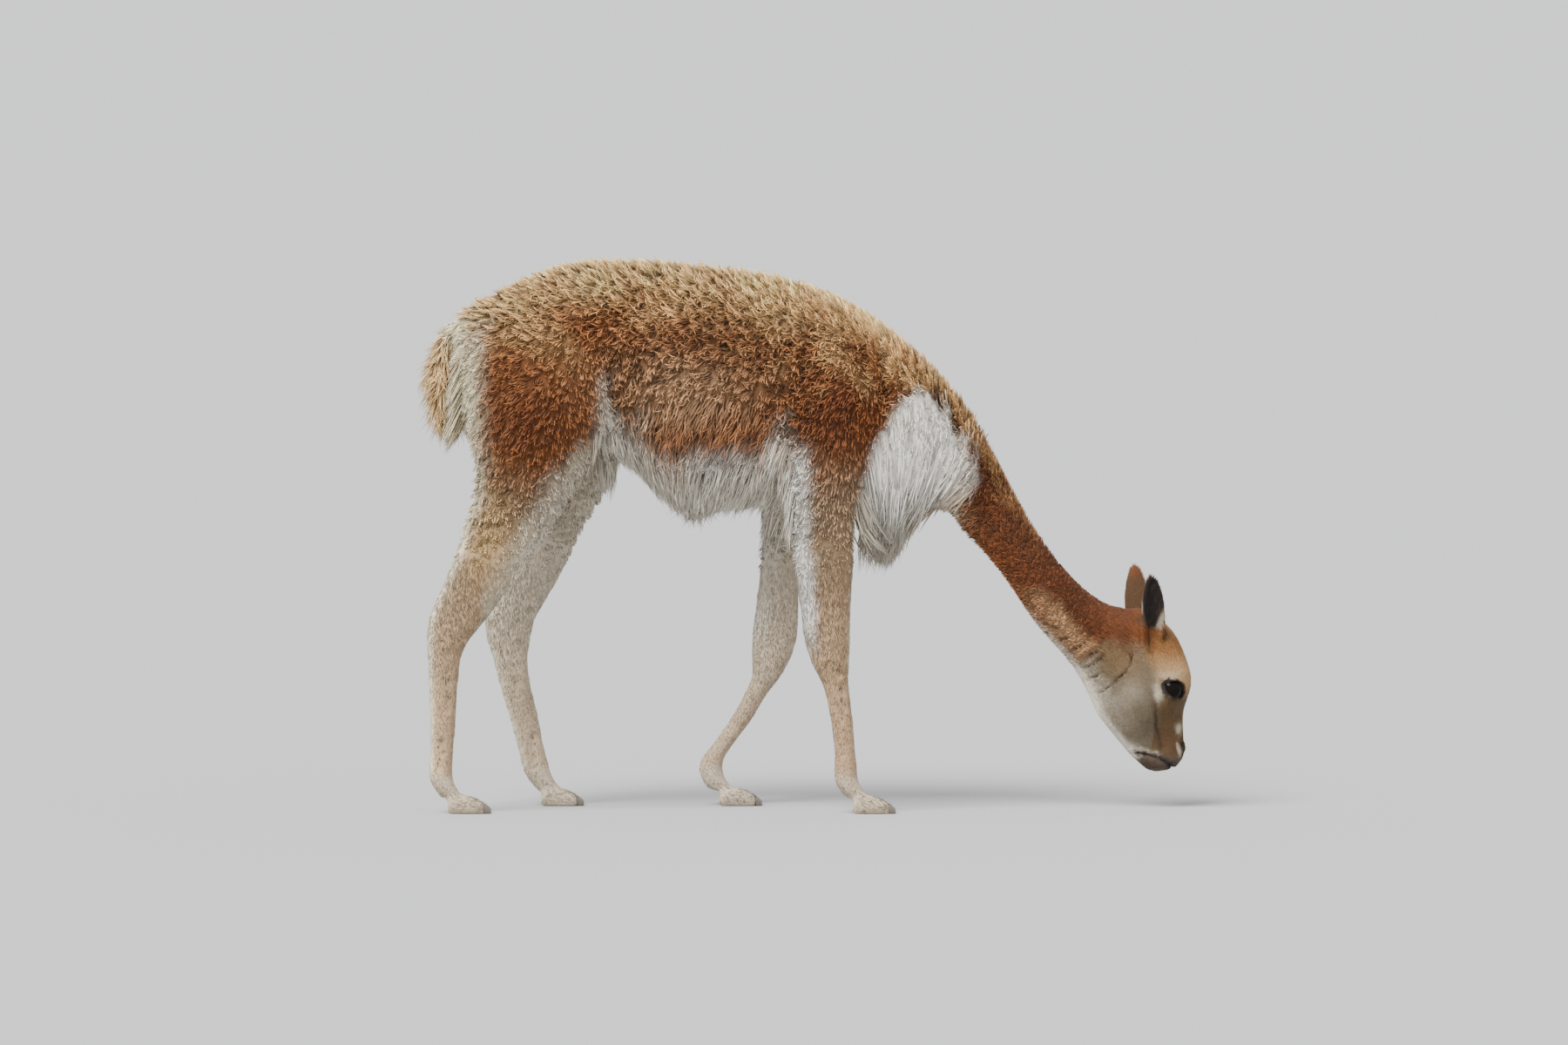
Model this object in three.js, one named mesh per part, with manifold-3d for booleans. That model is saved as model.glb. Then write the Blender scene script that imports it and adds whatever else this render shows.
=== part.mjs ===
// A life-size vicuna, standing and grazing with its head lowered almost to the floor.
// Millimetres. +X runs towards the head, +Y to the animal's left and +Z up, and the origin lies on the floor
// under the middle of the animal. Each part of the body is its own closed mesh.

import * as THREE from "three";
import { mergeVertices } from "three/addons/utils/BufferGeometryUtils.js";
import Module from "manifold-3d";

const wasm = await Module();
wasm.setup();

// Driving sizes
const GAP = 0.3; // between two parts that touch
const WELD = 1e-3; // points closer than this are one
const APART = 0.04; // how far points that only touch are drawn apart
const HEAD_TURN = 0.2; // how far the face turns to the animal's left, in radians
const TURN_FROM = 290; // the neck begins to turn at this x
const TURN_TO = 415; // and is fully turned at this one
const EYE_RADIUS = 18;
const LID_WIDTH = 10; // how thick the ring of the lids is
const EAR_WIDTH = 40;
const EAR_DEPTH = 17;
const EAR_WALL = 4.5;
const LIP_HEIGHT = 7; // of each lip, from the line of the mouth
const LIP_SWELL = 1.6; // how far the lips stand out
const MOUTH_GAP = 3; // between the lips
const MOUTH_BAND = 120; // wider than the muzzle
const MOUTH_DEPTH = 5; // how far the line of the mouth is cut in
const NOSTRIL = { long: 12, wide: 3.6, deep: 8, rim: 3 }; // half sizes of the slit, and its raised rim
const LEG_SIDES = 12; // faces round a leg
const TOE_WIDTH = 25;
const TOE_HEIGHT = 30;
const TOE_LENGTH = 68;
const NAIL_LENGTH = 16;
const FLEECE_DEPTH = 10; // from the top of a clump of fleece to the crease between two
const LEG_FLEECE_DEPTH = 7;
const NECK_FLEECE_DEPTH = 6;
const LOCK_THICKNESS = 13;
const LOCK_STEPS = 3; // stretches that a lock bends in
const BIB_LOCK = { fall: 88, width: 48 };
const BIB_POINT = new THREE.Vector3(121, 0, 386);
const NECK_UNDERSIDE = { front: 190, below: 505 };
const SIDE_LOCK = { fall: 80, width: 41 };
const FRINGE_LOCK = { width: 28, thickness: 54 };
const TAIL_LOCK = { reach: 1.8, width: 42 };

const { lerp, clamp, smoothstep } = THREE.MathUtils;

// Hair is dull, and eyes and nails shine a little.
const finish = (color, roughness = 0.9) => new THREE.MeshStandardMaterial({ color, roughness, metalness: 0 });
const COAT = finish(0xa9642f);
const FACE = finish(0xb98a58);
const SHANK = finish(0xc4a07a);
const EYE = finish(0x120c09, 0.1);
const NAIL = finish(0xb9b2a6, 0.45);

// Solids

// A closed three.js geometry as a solid that can be joined and cut.
function solid(geometry) {
  const bare = geometry.clone();
  bare.deleteAttribute("normal");
  bare.deleteAttribute("uv");
  const merged = mergeVertices(bare, WELD);
  return new wasm.Manifold(
    new wasm.Mesh({
      numProp: 3,
      vertProperties: merged.attributes.position.array,
      triVerts: new Uint32Array(merged.index.array),
    }),
  );
}

// The surface of a solid as a three.js geometry.
function surface(body) {
  const mesh = body.getMesh();
  const positions = new Float32Array(mesh.numVert * 3);
  for (let i = 0; i < mesh.numVert; i++)
    positions.set(mesh.vertProperties.subarray(i * mesh.numProp, i * mesh.numProp + 3), i * 3);
  return new THREE.BufferGeometry()
    .setAttribute("position", new THREE.BufferAttribute(positions, 3))
    .setIndex(new THREE.BufferAttribute(mesh.triVerts, 1));
}

// The largest closed piece of a solid, so that no loose scrap and no sealed hollow stays.
const largest = (body) => body.decompose().reduce((a, b) => (b.volume() > a.volume() ? b : a));

// The same after points that all but touch are welded, which can seal off another hollow.
function welded(body) {
  const again = solid(surface(body).toNonIndexed());
  return again.decompose().length > 1 ? welded(largest(again)) : again;
}

// Where two corners of a surface only touch, each is drawn a little towards its own neighbours.
function untouched(geometry) {
  const position = geometry.attributes.position;
  const index = geometry.index.array;
  const corner = (i) => new THREE.Vector3().fromBufferAttribute(position, i);
  const places = new Map();
  for (let i = 0; i < position.count; i++) {
    const key = String(corner(i).divideScalar(WELD).round().toArray());
    places.set(key, [...(places.get(key) ?? []), i]);
  }
  const touching = new Set([...places.values()].filter((same) => same.length > 1).flat());
  const pulls = new Map([...touching].map((i) => [i, new THREE.Vector3()]));
  for (let f = 0; f < index.length; f += 3)
    for (let j = 0; j < 3; j++) {
      const pull = pulls.get(index[f + j]);
      if (!pull) continue;
      const here = corner(index[f + j]);
      for (const n of [1, 2]) pull.add(corner(index[f + ((j + n) % 3)]).sub(here).clampLength(0, 1));
    }
  for (const [i, pull] of pulls) {
    const place = corner(i).addScaledVector(pull.normalize(), APART);
    position.setXYZ(i, place.x, place.y, place.z);
  }
  return geometry;
}

const joined = (bodies) => largest(wasm.Manifold.union(bodies));

// A geometry with every point moved by a function that changes the point it is given.
function moved(geometry, move) {
  const position = geometry.attributes.position;
  const point = new THREE.Vector3();
  for (let i = 0; i < position.count; i++) {
    move(point.fromBufferAttribute(position, i));
    position.setXYZ(i, point.x, point.y, point.z);
  }
  return geometry;
}

// A closed box between two corners.
function block(low, high) {
  const size = high.clone().sub(low);
  const middle = low.clone().add(high).multiplyScalar(0.5);
  return solid(new THREE.BoxGeometry(size.x, size.y, size.z).translate(middle.x, middle.y, middle.z));
}

// A stretched ball of few faces.
function ball(centre, radii, across = 10, down = 8) {
  const shape = new THREE.SphereGeometry(1, across, down).scale(radii.x, radii.y, radii.z);
  return shape.translate(centre.x, centre.y, centre.z);
}

// Everything ahead of the withers turns to the left with the neck.
const turnAt = (x) => HEAD_TURN * smoothstep(x, TURN_FROM, TURN_TO);

function turned(point) {
  const span = TURN_TO - TURN_FROM;
  const t = clamp((point.x - TURN_FROM) / span, 0, 1);
  const drift = HEAD_TURN * (span * (t ** 3 - t ** 4 / 2) + Math.max(0, point.x - TURN_TO));
  const angle = turnAt(point.x);
  return point.set(point.x - point.y * Math.sin(angle), drift + point.y * Math.cos(angle), point.z);
}

// Limbs

// A ring of a limb: its front or top point and its back or bottom point in the middle plane, how far it lies
// from that plane, its half width, where it is widest (-1 at the back or bottom, 1 at the front or top) and
// how square it is (2 is an ellipse).
const ring = (ax, az, bx, bz, y, width, level = 0, square = 2) => ({
  a: new THREE.Vector3(ax, y, az),
  b: new THREE.Vector3(bx, y, bz),
  size: new THREE.Vector3(width, level, square),
});

// A limb runs smoothly through its rings. A place s on it is 0 at the first ring and 1 more at each next one.
class Limb {
  constructor(rings) {
    this.last = rings.length - 1;
    this.a = new THREE.CatmullRomCurve3(rings.map((r) => r.a));
    this.b = new THREE.CatmullRomCurve3(rings.map((r) => r.b));
    this.size = new THREE.CatmullRomCurve3(rings.map((r) => r.size));
  }

  // A point of the ring at s. The angle is 0 on the left side and a quarter turn at the front or top.
  point(s, angle, grow = 0, radial = 1) {
    const u = clamp(s / this.last, 0, 1);
    const a = this.a.getPoint(u);
    const b = this.b.getPoint(u);
    const { x: width, y: level, z: square } = this.size.getPoint(u);
    const up = a.clone().sub(b).normalize();
    const half = a.distanceTo(b) / 2;
    const across = Math.sign(Math.cos(angle)) * Math.abs(Math.cos(angle)) ** (2 / square);
    const rise = Math.sign(Math.sin(angle)) * Math.abs(Math.sin(angle)) ** (2 / square);
    const height = half * (level + rise * (1 - Math.sign(rise) * level)) + grow * rise;
    const side = new THREE.Vector3(0, across * (width + grow) * radial, 0);
    return a.add(b).multiplyScalar(0.5).add(side).addScaledVector(up, lerp(half * level, height, radial));
  }

  // The middle of the ring at s, and the direction in which s grows.
  middle(s) {
    return this.point(s, 0, 0, 0);
  }

  along(s) {
    return this.middle(s + 0.02).sub(this.middle(s - 0.02)).normalize();
  }

  // The outward direction of the surface.
  normal(s, angle) {
    const ahead = this.point(s + 0.05, angle).sub(this.point(s - 0.05, angle));
    const round = this.point(s, angle + 0.05).sub(this.point(s, angle - 0.05));
    return round.cross(ahead).normalize();
  }

  // The place that lies a given distance further along.
  further(s, distance) {
    return s + (distance * 0.1) / this.middle(s + 0.05).distanceTo(this.middle(s - 0.05));
  }

  // The closed stretch between two places, grown all round by a given amount.
  shape(from, to, sides, steps, grow = 0) {
    const start = this.along(from).multiplyScalar(-grow);
    const end = this.along(to).multiplyScalar(grow);
    return moved(new THREE.CylinderGeometry(1, 1, 1, sides, steps), (p) => {
      const t = p.y + 0.5;
      const radial = Math.round(Math.hypot(p.x, p.z));
      p.copy(this.point(lerp(from, to, t), Math.atan2(p.z, -p.x), grow, radial));
      if (t < 1e-6) p.add(start);
      if (t > 1 - 1e-6) p.add(end);
    });
  }
}

// The trunk, neck and head follow one line from the rump to the lips.
const SPINE = new Limb([
  ring(-562, 797, -560, 640, 0, 52, 0.1, 2.2),
  ring(-549, 813, -549, 596, 0, 92, 0.1, 2.2),
  ring(-521, 828, -524, 566, 0, 116, 0.1, 2.2),
  ring(-480, 847, -484, 556, 0, 128, 0.1, 2.2),
  ring(-425, 871, -428, 566, 0, 134, 0.1, 2.2),
  ring(-365, 886, -365, 585, 0, 137, 0.1, 2.2),
  ring(-300, 888, -300, 562, 0, 142, 0, 2.2),
  ring(-235, 886, -235, 508, 0, 150, -0.05, 2.1),
  ring(-170, 880, -170, 492, 0, 155, -0.05, 2.1),
  ring(-100, 871, -105, 498, 0, 153, -0.05, 2.1),
  ring(-35, 858, -45, 500, 0, 146, -0.05, 2.1),
  ring(30, 838, 10, 494, 0, 138, -0.1, 2.1),
  ring(85, 809, 60, 489, 0, 130, -0.15, 2.1),
  ring(125, 781, 100, 487, 0, 121, -0.15, 2.1),
  ring(160, 753, 140, 485, 0, 110, -0.15, 2.1),
  ring(196, 719, 176, 484, 0, 97, -0.1, 2.1),
  ring(232, 677, 207, 481, 0, 84, -0.05, 2),
  ring(265, 634, 222, 471, 0, 74, 0, 2),
  ring(300, 580, 237, 453, 0, 65, 0, 2),
  ring(330, 526, 251, 434, 0, 59, 0, 2),
  ring(357, 477, 268, 411, 0, 56, 0, 2),
  ring(383, 437, 293, 381, 0, 54, 0, 2),
  ring(410, 400, 321, 342, 0, 54, 0, 2),
  ring(440, 368, 349, 301, 0, 54, 0, 2),
  ring(467, 346, 377, 268, 0, 55, 0, 2),
  ring(492, 333, 402, 242, 0, 55, 0.1, 2),
  ring(518, 327, 420, 219, 0, 54, 0.25, 2.1),
  ring(543, 321, 432, 201, 0, 53, 0.35, 2.2),
  ring(567, 306, 441, 185, 0, 52, 0.4, 2.2),
  ring(586, 285, 450, 168, 0, 52, 0.45, 2.2),
  ring(600, 258, 462, 147, 0, 53, 0.5, 2.3),
  ring(609, 231, 476, 130, 0, 54, 0.5, 2.4),
  ring(612, 206, 488, 116, 0, 52, 0.5, 2.4),
  ring(608, 182, 498, 104, 0, 44, 0.4, 2.3),
  ring(603, 158, 507, 94, 0, 36, 0.25, 2.2),
  ring(602, 134, 516, 84, 0, 31, 0.1, 2.2),
  ring(603, 112, 525, 75, 0, 29, 0.05, 2.2),
  ring(604, 94, 534, 67, 0, 28, 0, 2.2),
  ring(600, 79, 543, 61, 0, 26, 0, 2.1),
  ring(589, 66, 556, 58, 0, 16, 0, 2),
]);
const NECK_START = 17.5;
const HEAD_START = 26;
const ELBOW_HAIR = 10.55;
const FLANK_HAIR = 5.7;

// Each leg runs from inside the body down to its fetlock. Its rows are the level, the front and the back of
// the leg there, its distance from the middle of the body and its half width.
const NEAR_HIND = [
  [800, -345, -515, 72, 44],
  [760, -305, -545, 84, 60],
  [700, -290, -556, 90, 66],
  [640, -300, -556, 92, 66],
  [600, -328, -553, 93, 62],
  [560, -347, -547, 94, 57],
  [520, -368, -547, 93, 51],
  [480, -394, -556, 92, 46],
  [440, -420, -567, 91, 41],
  [400, -459, -580, 90, 36],
  [360, -480, -596, 88, 31],
  [330, -500, -609, 87, 28],
  [303, -522, -616, 86, 27],
  [275, -544, -617, 86, 25],
  [245, -556, -616, 86, 22],
  [200, -561, -615, 86, 20],
  [150, -564, -613, 86, 19],
  [100, -568, -612, 86, 19],
  [72, -570, -614, 86, 22],
  [50, -568, -611, 86, 23],
  [28, -556, -598, 86, 20],
];
const FAR_HIND = [
  [800, -345, -510, 72, 44],
  [760, -305, -535, 84, 60],
  [700, -288, -542, 90, 66],
  [640, -288, -536, 92, 66],
  [600, -296, -524, 93, 62],
  [560, -306, -508, 94, 57],
  [520, -318, -496, 93, 51],
  [480, -342, -487, 92, 46],
  [440, -366, -484, 91, 41],
  [405, -383, -492, 90, 36],
  [370, -401, -506, 88, 31],
  [335, -422, -521, 87, 28],
  [303, -441, -530, 86, 27],
  [270, -449, -527, 86, 25],
  [240, -453, -518, 86, 22],
  [200, -450, -508, 86, 20],
  [150, -438, -493, 86, 19],
  [100, -429, -479, 86, 19],
  [72, -422, -472, 86, 22],
  [50, -416, -465, 86, 23],
  [28, -404, -448, 86, 20],
];
const NEAR_FORE = [
  [760, 60, -20, 74, 34],
  [710, 108, -48, 84, 50],
  [650, 130, -62, 88, 56],
  [590, 122, -60, 89, 54],
  [530, 100, -50, 89, 48],
  [475, 80, -41, 88, 42],
  [420, 77, -36, 87, 36],
  [365, 73, -29, 86, 31],
  [320, 69, -21, 86, 28],
  [280, 67, -15, 86, 27],
  [240, 65, -2, 86, 26],
  [208, 64, 14, 86, 23],
  [175, 68, 23, 86, 20],
  [135, 72, 30, 86, 19],
  [98, 75, 34, 86, 19],
  [72, 77, 34, 86, 22],
  [50, 80, 36, 86, 23],
  [28, 92, 50, 86, 20],
];
const FAR_FORE = [
  [760, 60, -20, 74, 34],
  [710, 98, -58, 84, 50],
  [650, 108, -80, 88, 56],
  [590, 88, -88, 89, 54],
  [530, 50, -86, 89, 48],
  [475, 16, -80, 88, 42],
  [420, -4, -86, 87, 36],
  [365, -12, -90, 86, 31],
  [320, -14, -94, 86, 28],
  [280, -17, -98, 86, 27],
  [245, -26, -99, 86, 26],
  [210, -44, -99, 86, 23],
  [180, -67, -111, 86, 20],
  [140, -91, -133, 86, 19],
  [100, -121, -161, 86, 19],
  [75, -137, -180, 86, 22],
  [52, -138, -183, 86, 23],
  [28, -126, -170, 86, 20],
];

// The tail hangs over the rump.
const TAIL = new Limb([
  ring(-542, 772, -560, 806, 0, 20),
  ring(-558, 758, -586, 790, 0, 28),
  ring(-566, 736, -605, 757, 0, 35),
  ring(-571, 704, -613, 718, 0, 38),
  ring(-571, 674, -610, 684, 0, 36),
  ring(-569, 646, -600, 653, 0, 29),
  ring(-563, 620, -580, 624, 0, 12),
]);

// The long white hair of the chest, and that under the belly, out to their tips.
const BIB = new Limb([
  ring(216, 648, 126, 650, 0, 80),
  ring(230, 606, 101, 604, 0, 108),
  ring(238, 555, 87, 560, 0, 122),
  ring(228, 508, 80, 512, 0, 110),
  ring(196, 472, 79, 466, 0, 82),
  ring(162, 440, 87, 432, 0, 48),
  ring(141, 410, 104, 406, 0, 22),
  ring(124, 386, 118, 385, 0, 6),
]);
const FRINGE = new Limb([
  ring(-318, 620, -316, 596, 0, 50),
  ring(-296, 620, -300, 566, 0, 84),
  ring(-262, 620, -266, 512, 0, 104),
  ring(-226, 620, -230, 464, 0, 112),
  ring(-180, 620, -180, 458, 0, 114),
  ring(-130, 620, -130, 468, 0, 110),
  ring(-85, 620, -85, 482, 0, 104),
  ring(-50, 620, -50, 494, 0, 96),
]);

// Coat

// Numbers between -1 and 1 that look random and come out the same each time.
function drawer(seed) {
  let state = seed;
  return () => {
    state = (state * 1664525 + 1013904223) >>> 0;
    return state / 2147483648 - 1;
  };
}

// A flat lock of hair that tapers and bends from its root along three points. Its flat side faces outwards.
function lock(root, bend, tip, outwards, width, thickness, grow = 0) {
  const path = new THREE.QuadraticBezierCurve3(root, bend, tip);
  return moved(new THREE.ConeGeometry(1, 1, 3, LOCK_STEPS), (p) => {
    const t = clamp(p.y + 0.5, 0, 1);
    const angle = Math.atan2(p.z, p.x);
    const taper = t > 0.99 ? 0 : 0.55 + 1.5 * t - 1.85 * t * t;
    const along = path.getTangent(t);
    const across = along.clone().cross(outwards).normalize();
    const up = across.clone().cross(along);
    const more = taper > 0 ? grow : 0;
    const longer = grow * (taper === 0 ? 4 : t < 0.01 ? -1 : 0);
    p.copy(path.getPoint(t)).addScaledVector(along, longer);
    p.addScaledVector(across, Math.cos(angle) * ((taper * width) / 2 + 2 * more));
    p.addScaledVector(up, Math.sin(angle) * ((Math.min(1, taper * 1.3) * thickness) / 2 + 2 * more));
  });
}

// A lock on a limb that hangs from its root by a given fall, its root sunk below the skin.
function hanging(limb, s, angle, fall, width, stand = 0.22) {
  const skin = limb.point(s, angle, -FLEECE_DEPTH);
  const out = limb.normal(s, angle);
  const drop = fall.length();
  const root = skin.clone().addScaledVector(out, -16).addScaledVector(fall, -0.12);
  const bend = skin.clone().addScaledVector(out, drop * stand).addScaledVector(fall, 0.35);
  return lock(root, bend, skin.clone().add(fall), out, width, LOCK_THICKNESS);
}

// A lock that lies along a limb's surface, from its root under it to a tip on it.
function lying(limb, s, angle, reach, twist, width, grow = 0) {
  const root = limb.point(s, angle, -18);
  const bend = limb.point(s + reach * 0.5, angle + twist * 0.4, 6);
  const tip = limb.point(s + reach, angle + twist, 0);
  return lock(root, bend, tip, limb.normal(s + reach * 0.4, angle), width, LOCK_THICKNESS, grow);
}

// A stretch of a limb in fleece: rounded clumps set close like a honeycomb, in staggered rows. Every clump is
// a top, six points round it and six corners down in the creases, which it shares with its neighbours.
function fleece(limb, from, to, rows, around, draw, depth = FLEECE_DEPTH) {
  const points = [];
  const faces = [];
  const put = (row, column, grow) => {
    points.push(...limb.point(lerp(from, to, row / rows), (column / around) * 2 * Math.PI, grow));
    return { id: points.length / 3 - 1, row, column };
  };
  const crease = (row) =>
    Array.from({ length: 2 * around }, (_, k) => {
      if (row === 0 || row === rows) return put(row, k / 2, -depth * 0.6);
      const zigzag = (k + row) % 2 ? 1 / 6 : -1 / 6;
      return put(row + zigzag + 0.07 * draw(), k / 2 + 0.1 * draw(), -depth);
    });
  const creases = Array.from({ length: rows + 1 }, (_, row) => crease(row));

  for (let row = 0; row < rows; row++) {
    for (let k = row % 2; k < 2 * around; k += 2) {
      const side = (line, step) => {
        const corner = creases[line][(k + step + 2 * around) % (2 * around)];
        const turns = Math.round((k / 2 - corner.column) / around);
        return { ...corner, column: corner.column + turns * around };
      };
      const back = [-1, 0, 1].map((step) => side(row, step));
      const rim = [...back, ...[1, 0, -1].map((step) => side(row + 1, step))];
      const tall = depth * 0.12 * (1 + draw());
      const top = put(row + 0.5, k / 2 + 0.08 * draw(), -tall);
      const ridge = rim.map((corner) =>
        put(lerp(top.row, corner.row, 0.6), lerp(top.column, corner.column, 0.6), -tall - depth * 0.2));
      for (let j = 0; j < 6; j++) {
        const n = (j + 1) % 6;
        faces.push(top.id, ridge[j].id, ridge[n].id);
        faces.push(ridge[j].id, rim[j].id, rim[n].id, ridge[j].id, rim[n].id, ridge[n].id);
      }
    }
  }
  for (const [line, s, way] of [[creases[0], from, -1], [creases[rows], to, 1]]) {
    points.push(...limb.middle(s));
    line.forEach((corner, k) => {
      const next = line[(k + 1) % line.length];
      faces.push(points.length / 3 - 1, ...(way > 0 ? [corner.id, next.id] : [next.id, corner.id]));
    });
  }
  return new THREE.BufferGeometry()
    .setAttribute("position", new THREE.Float32BufferAttribute(points, 3))
    .setIndex(faces);
}

// Body

const legLimb = (rows, side) =>
  new Limb(rows.map(([z, front, back, y, width]) => ring(front, z, back, z, y * side, width)));

// Each leg leaves the trunk at its cut: the thighs and shoulders above it belong to the torso.
const LEGS = [
  { name: "near_hind", rows: NEAR_HIND, side: -1, cut: 7 },
  { name: "far_hind", rows: FAR_HIND, side: 1, cut: 7 },
  { name: "near_fore", rows: NEAR_FORE, side: -1, cut: 5 },
  { name: "far_fore", rows: FAR_FORE, side: 1, cut: 5 },
].map((leg) => ({ ...leg, limb: legLimb(leg.rows, leg.side) }));

// The angles of a row of locks round the underside of a limb. Every other row is set half a step aside.
const rowAngles = (row, count, spacing, draw) =>
  Array.from({ length: count }, (_, i) =>
    -Math.PI / 2 + (i - (count - 1) / 2 + 0.5 * (row % 2) - 0.25 + 0.15 * draw()) * spacing);

// The white bib: locks rooted over the front of the chest, that sweep together to one point below it.
function bib(draw) {
  const locks = [BIB.shape(1.2, 5, 10, 5, -15)];
  for (let row = 0; row < 4; row++) {
    const s = 17 - row * 1.25;
    for (const angle of rowAngles(row, 6, 0.55, draw)) {
      const skin = SPINE.point(s, angle);
      const sweep = smoothstep(640 - skin.z, 0, 170);
      const reach = BIB_LOCK.fall + 10 * draw();
      const place = s + 0.1 * draw();
      if (skin.x > NECK_UNDERSIDE.front && skin.z < NECK_UNDERSIDE.below) continue;
      const fall = BIB_POINT.clone().sub(skin).setY(0).setLength(reach);
      fall.lerp(new THREE.Vector3(-6, 0, -reach), 1 - sweep);
      fall.y = -skin.y * 0.45 * sweep;
      locks.push(hanging(SPINE, place, angle, fall, BIB_LOCK.width));
    }
  }
  for (let row = 0; row < 3; row++) {
    const count = 6 - row;
    for (let i = 0; i < count; i++) {
      const angle = ((i + 0.5 * (row % 2) + 0.15 * draw()) / count) * 2 * Math.PI;
      const reach = 1.9 + 0.15 * draw();
      locks.push(lying(BIB, 2.6 + row * 1.15, angle, reach, 0.12 * draw(), BIB_LOCK.width - 6 * row));
    }
  }
  return locks;
}

// The white fringe under the belly, in rows of locks that hang from its core a little to the back.
function fringe(draw) {
  const locks = [FRINGE.shape(0.3, 6.8, 10, 6, -22)];
  for (let row = 0; row < 7; row++) {
    const s = 0.5 + row;
    for (const angle of rowAngles(row, 4, 0.6, draw)) {
      const tip = FRINGE.point(clamp(s - 0.25 + 0.12 * draw(), 0, FRINGE.last), angle, 3 * draw());
      const root = FRINGE.point(s, angle, -42).add(new THREE.Vector3(8, 0, 6));
      const bend = FRINGE.point(s + 0.1, angle, -14);
      const out = new THREE.Vector3(1, 0.2 * Math.cos(angle), 0);
      locks.push(lock(root, bend, tip, out, FRINGE_LOCK.width, FRINGE_LOCK.thickness));
    }
  }
  return locks;
}

// The longer white hair behind the elbows and on the fold of each flank.
function sideHair(draw) {
  const locks = [];
  for (const side of [-1, 1]) {
    for (let i = 0; i < 3; i++) {
      const along = -0.2 - 0.22 * i;
      const angle = side > 0 ? along : Math.PI - along;
      for (const [s, lean, twist] of [[ELBOW_HAIR, -10, 0], [FLANK_HAIR, -6, 0.25 * side]]) {
        const fall = new THREE.Vector3(lean + 7 * draw(), -side * 5, -SIDE_LOCK.fall + 8 * draw());
        locks.push(hanging(SPINE, s + 0.2 * draw(), angle + twist, fall, SIDE_LOCK.width, 0.1));
      }
    }
  }
  return locks;
}

// All that lies ahead of a ring of the spine, or behind it.
function aheadOf(s, way = 1) {
  const up = SPINE.point(s, Math.PI / 2).sub(SPINE.point(s, -Math.PI / 2)).normalize();
  const across = new THREE.Vector3(0, 1, 0);
  const along = across.clone().cross(up);
  const frame = new THREE.Matrix4().makeBasis(along, across, up);
  frame.setPosition(SPINE.middle(s).addScaledVector(along, way * 150));
  const box = new THREE.BoxGeometry(300, 300, 300).applyMatrix4(frame);
  return solid(s > 20 ? moved(box, turned) : box);
}

// The trunk with its thighs and shoulders, and the long hair that grows on it.
function torso() {
  const draw = drawer(11);
  const bodies = [fleece(SPINE, 0, NECK_START + 0.5, 12, 12, draw, FLEECE_DEPTH)];
  for (const { limb, cut } of LEGS) bodies.push(fleece(limb, 0.6, cut, cut - 2, 7, draw, LEG_FLEECE_DEPTH));
  bodies.push(...bib(draw), ...fringe(draw), ...sideHair(draw));
  return joined(bodies.map(solid)).subtract(aheadOf(NECK_START));
}

function neck() {
  const draw = drawer(5);
  const wool = fleece(SPINE, NECK_START - 0.5, HEAD_START + 0.5, 8, 8, draw, NECK_FLEECE_DEPTH);
  const whole = solid(moved(wool, turned));
  return largest(whole.subtract(aheadOf(SPINE.further(NECK_START, GAP), -1)).subtract(aheadOf(HEAD_START)));
}

// The bushy tail, of locks that lie along its core, or the room that it takes.
function tail(grow = 0) {
  const draw = drawer(5);
  const bodies = [TAIL.shape(0, 4.4, 8, 4, grow - 13)];
  for (let row = 0; row < 4; row++) {
    const count = 4;
    for (let i = 0; i < count; i++) {
      const angle = ((i + 0.5 * (row % 2) + 0.12 * draw()) / count) * 2 * Math.PI;
      const reach = TAIL_LOCK.reach + 0.2 * draw();
      bodies.push(lying(TAIL, 0.6 + row * 1.05, angle, reach, 0.2 * draw(), TAIL_LOCK.width, grow));
    }
  }
  return joined(bodies.map(solid));
}

// Legs

// A toe points ahead from the heel, and its last stretch is the nail.
function toeLimb(x, y) {
  const row = (t, top, width) => ring(x + t * TOE_LENGTH, top, x + t * TOE_LENGTH, -3, y, width, 0, 2.6);
  return new Limb([
    row(-0.02, TOE_HEIGHT * 0.62, TOE_WIDTH * 0.3),
    row(0.12, TOE_HEIGHT * 1.0, TOE_WIDTH * 0.46),
    row(0.36, TOE_HEIGHT * 1.02, TOE_WIDTH * 0.5),
    row(0.6, TOE_HEIGHT * 0.86, TOE_WIDTH * 0.5),
    row(0.78, TOE_HEIGHT * 0.66, TOE_WIDTH * 0.44),
    row(0.9, TOE_HEIGHT * 0.46, TOE_WIDTH * 0.32),
    row(1, TOE_HEIGHT * 0.26, TOE_WIDTH * 0.16),
  ]);
}

// A leg below its cut with its two toes, cut off level under the feet, and the nails apart.
function leg({ limb, rows, side, cut }) {
  const fetlock = rows.at(-3);
  const heel = (fetlock[1] + fetlock[2]) / 2 + 12;
  const middle = fetlock[3] * side;
  const toes = [-1, 1].map((half) => toeLimb(heel, middle + half * (TOE_WIDTH / 2 - 0.5)));
  const nailFrom = 6 * (1 - NAIL_LENGTH / TOE_LENGTH);
  const under = block(new THREE.Vector3(-900, -400, -50), new THREE.Vector3(900, 400, 0));
  const flesh = [solid(limb.shape(limb.further(cut, GAP), limb.last, LEG_SIDES, limb.last - cut))];
  for (const toe of toes) flesh.push(solid(toe.shape(0, nailFrom, 8, 5)));
  return {
    body: largest(joined(flesh).subtract(under)),
    nails: toes.map((toe) => largest(solid(toe.shape(toe.further(nailFrom, GAP), 6, 6, 2)).subtract(under))),
  };
}

// Head

// The middle of an eye on the head before it is turned.
const eyeMiddle = (side) => new THREE.Vector3(571, side * 43.5, 194);

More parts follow.
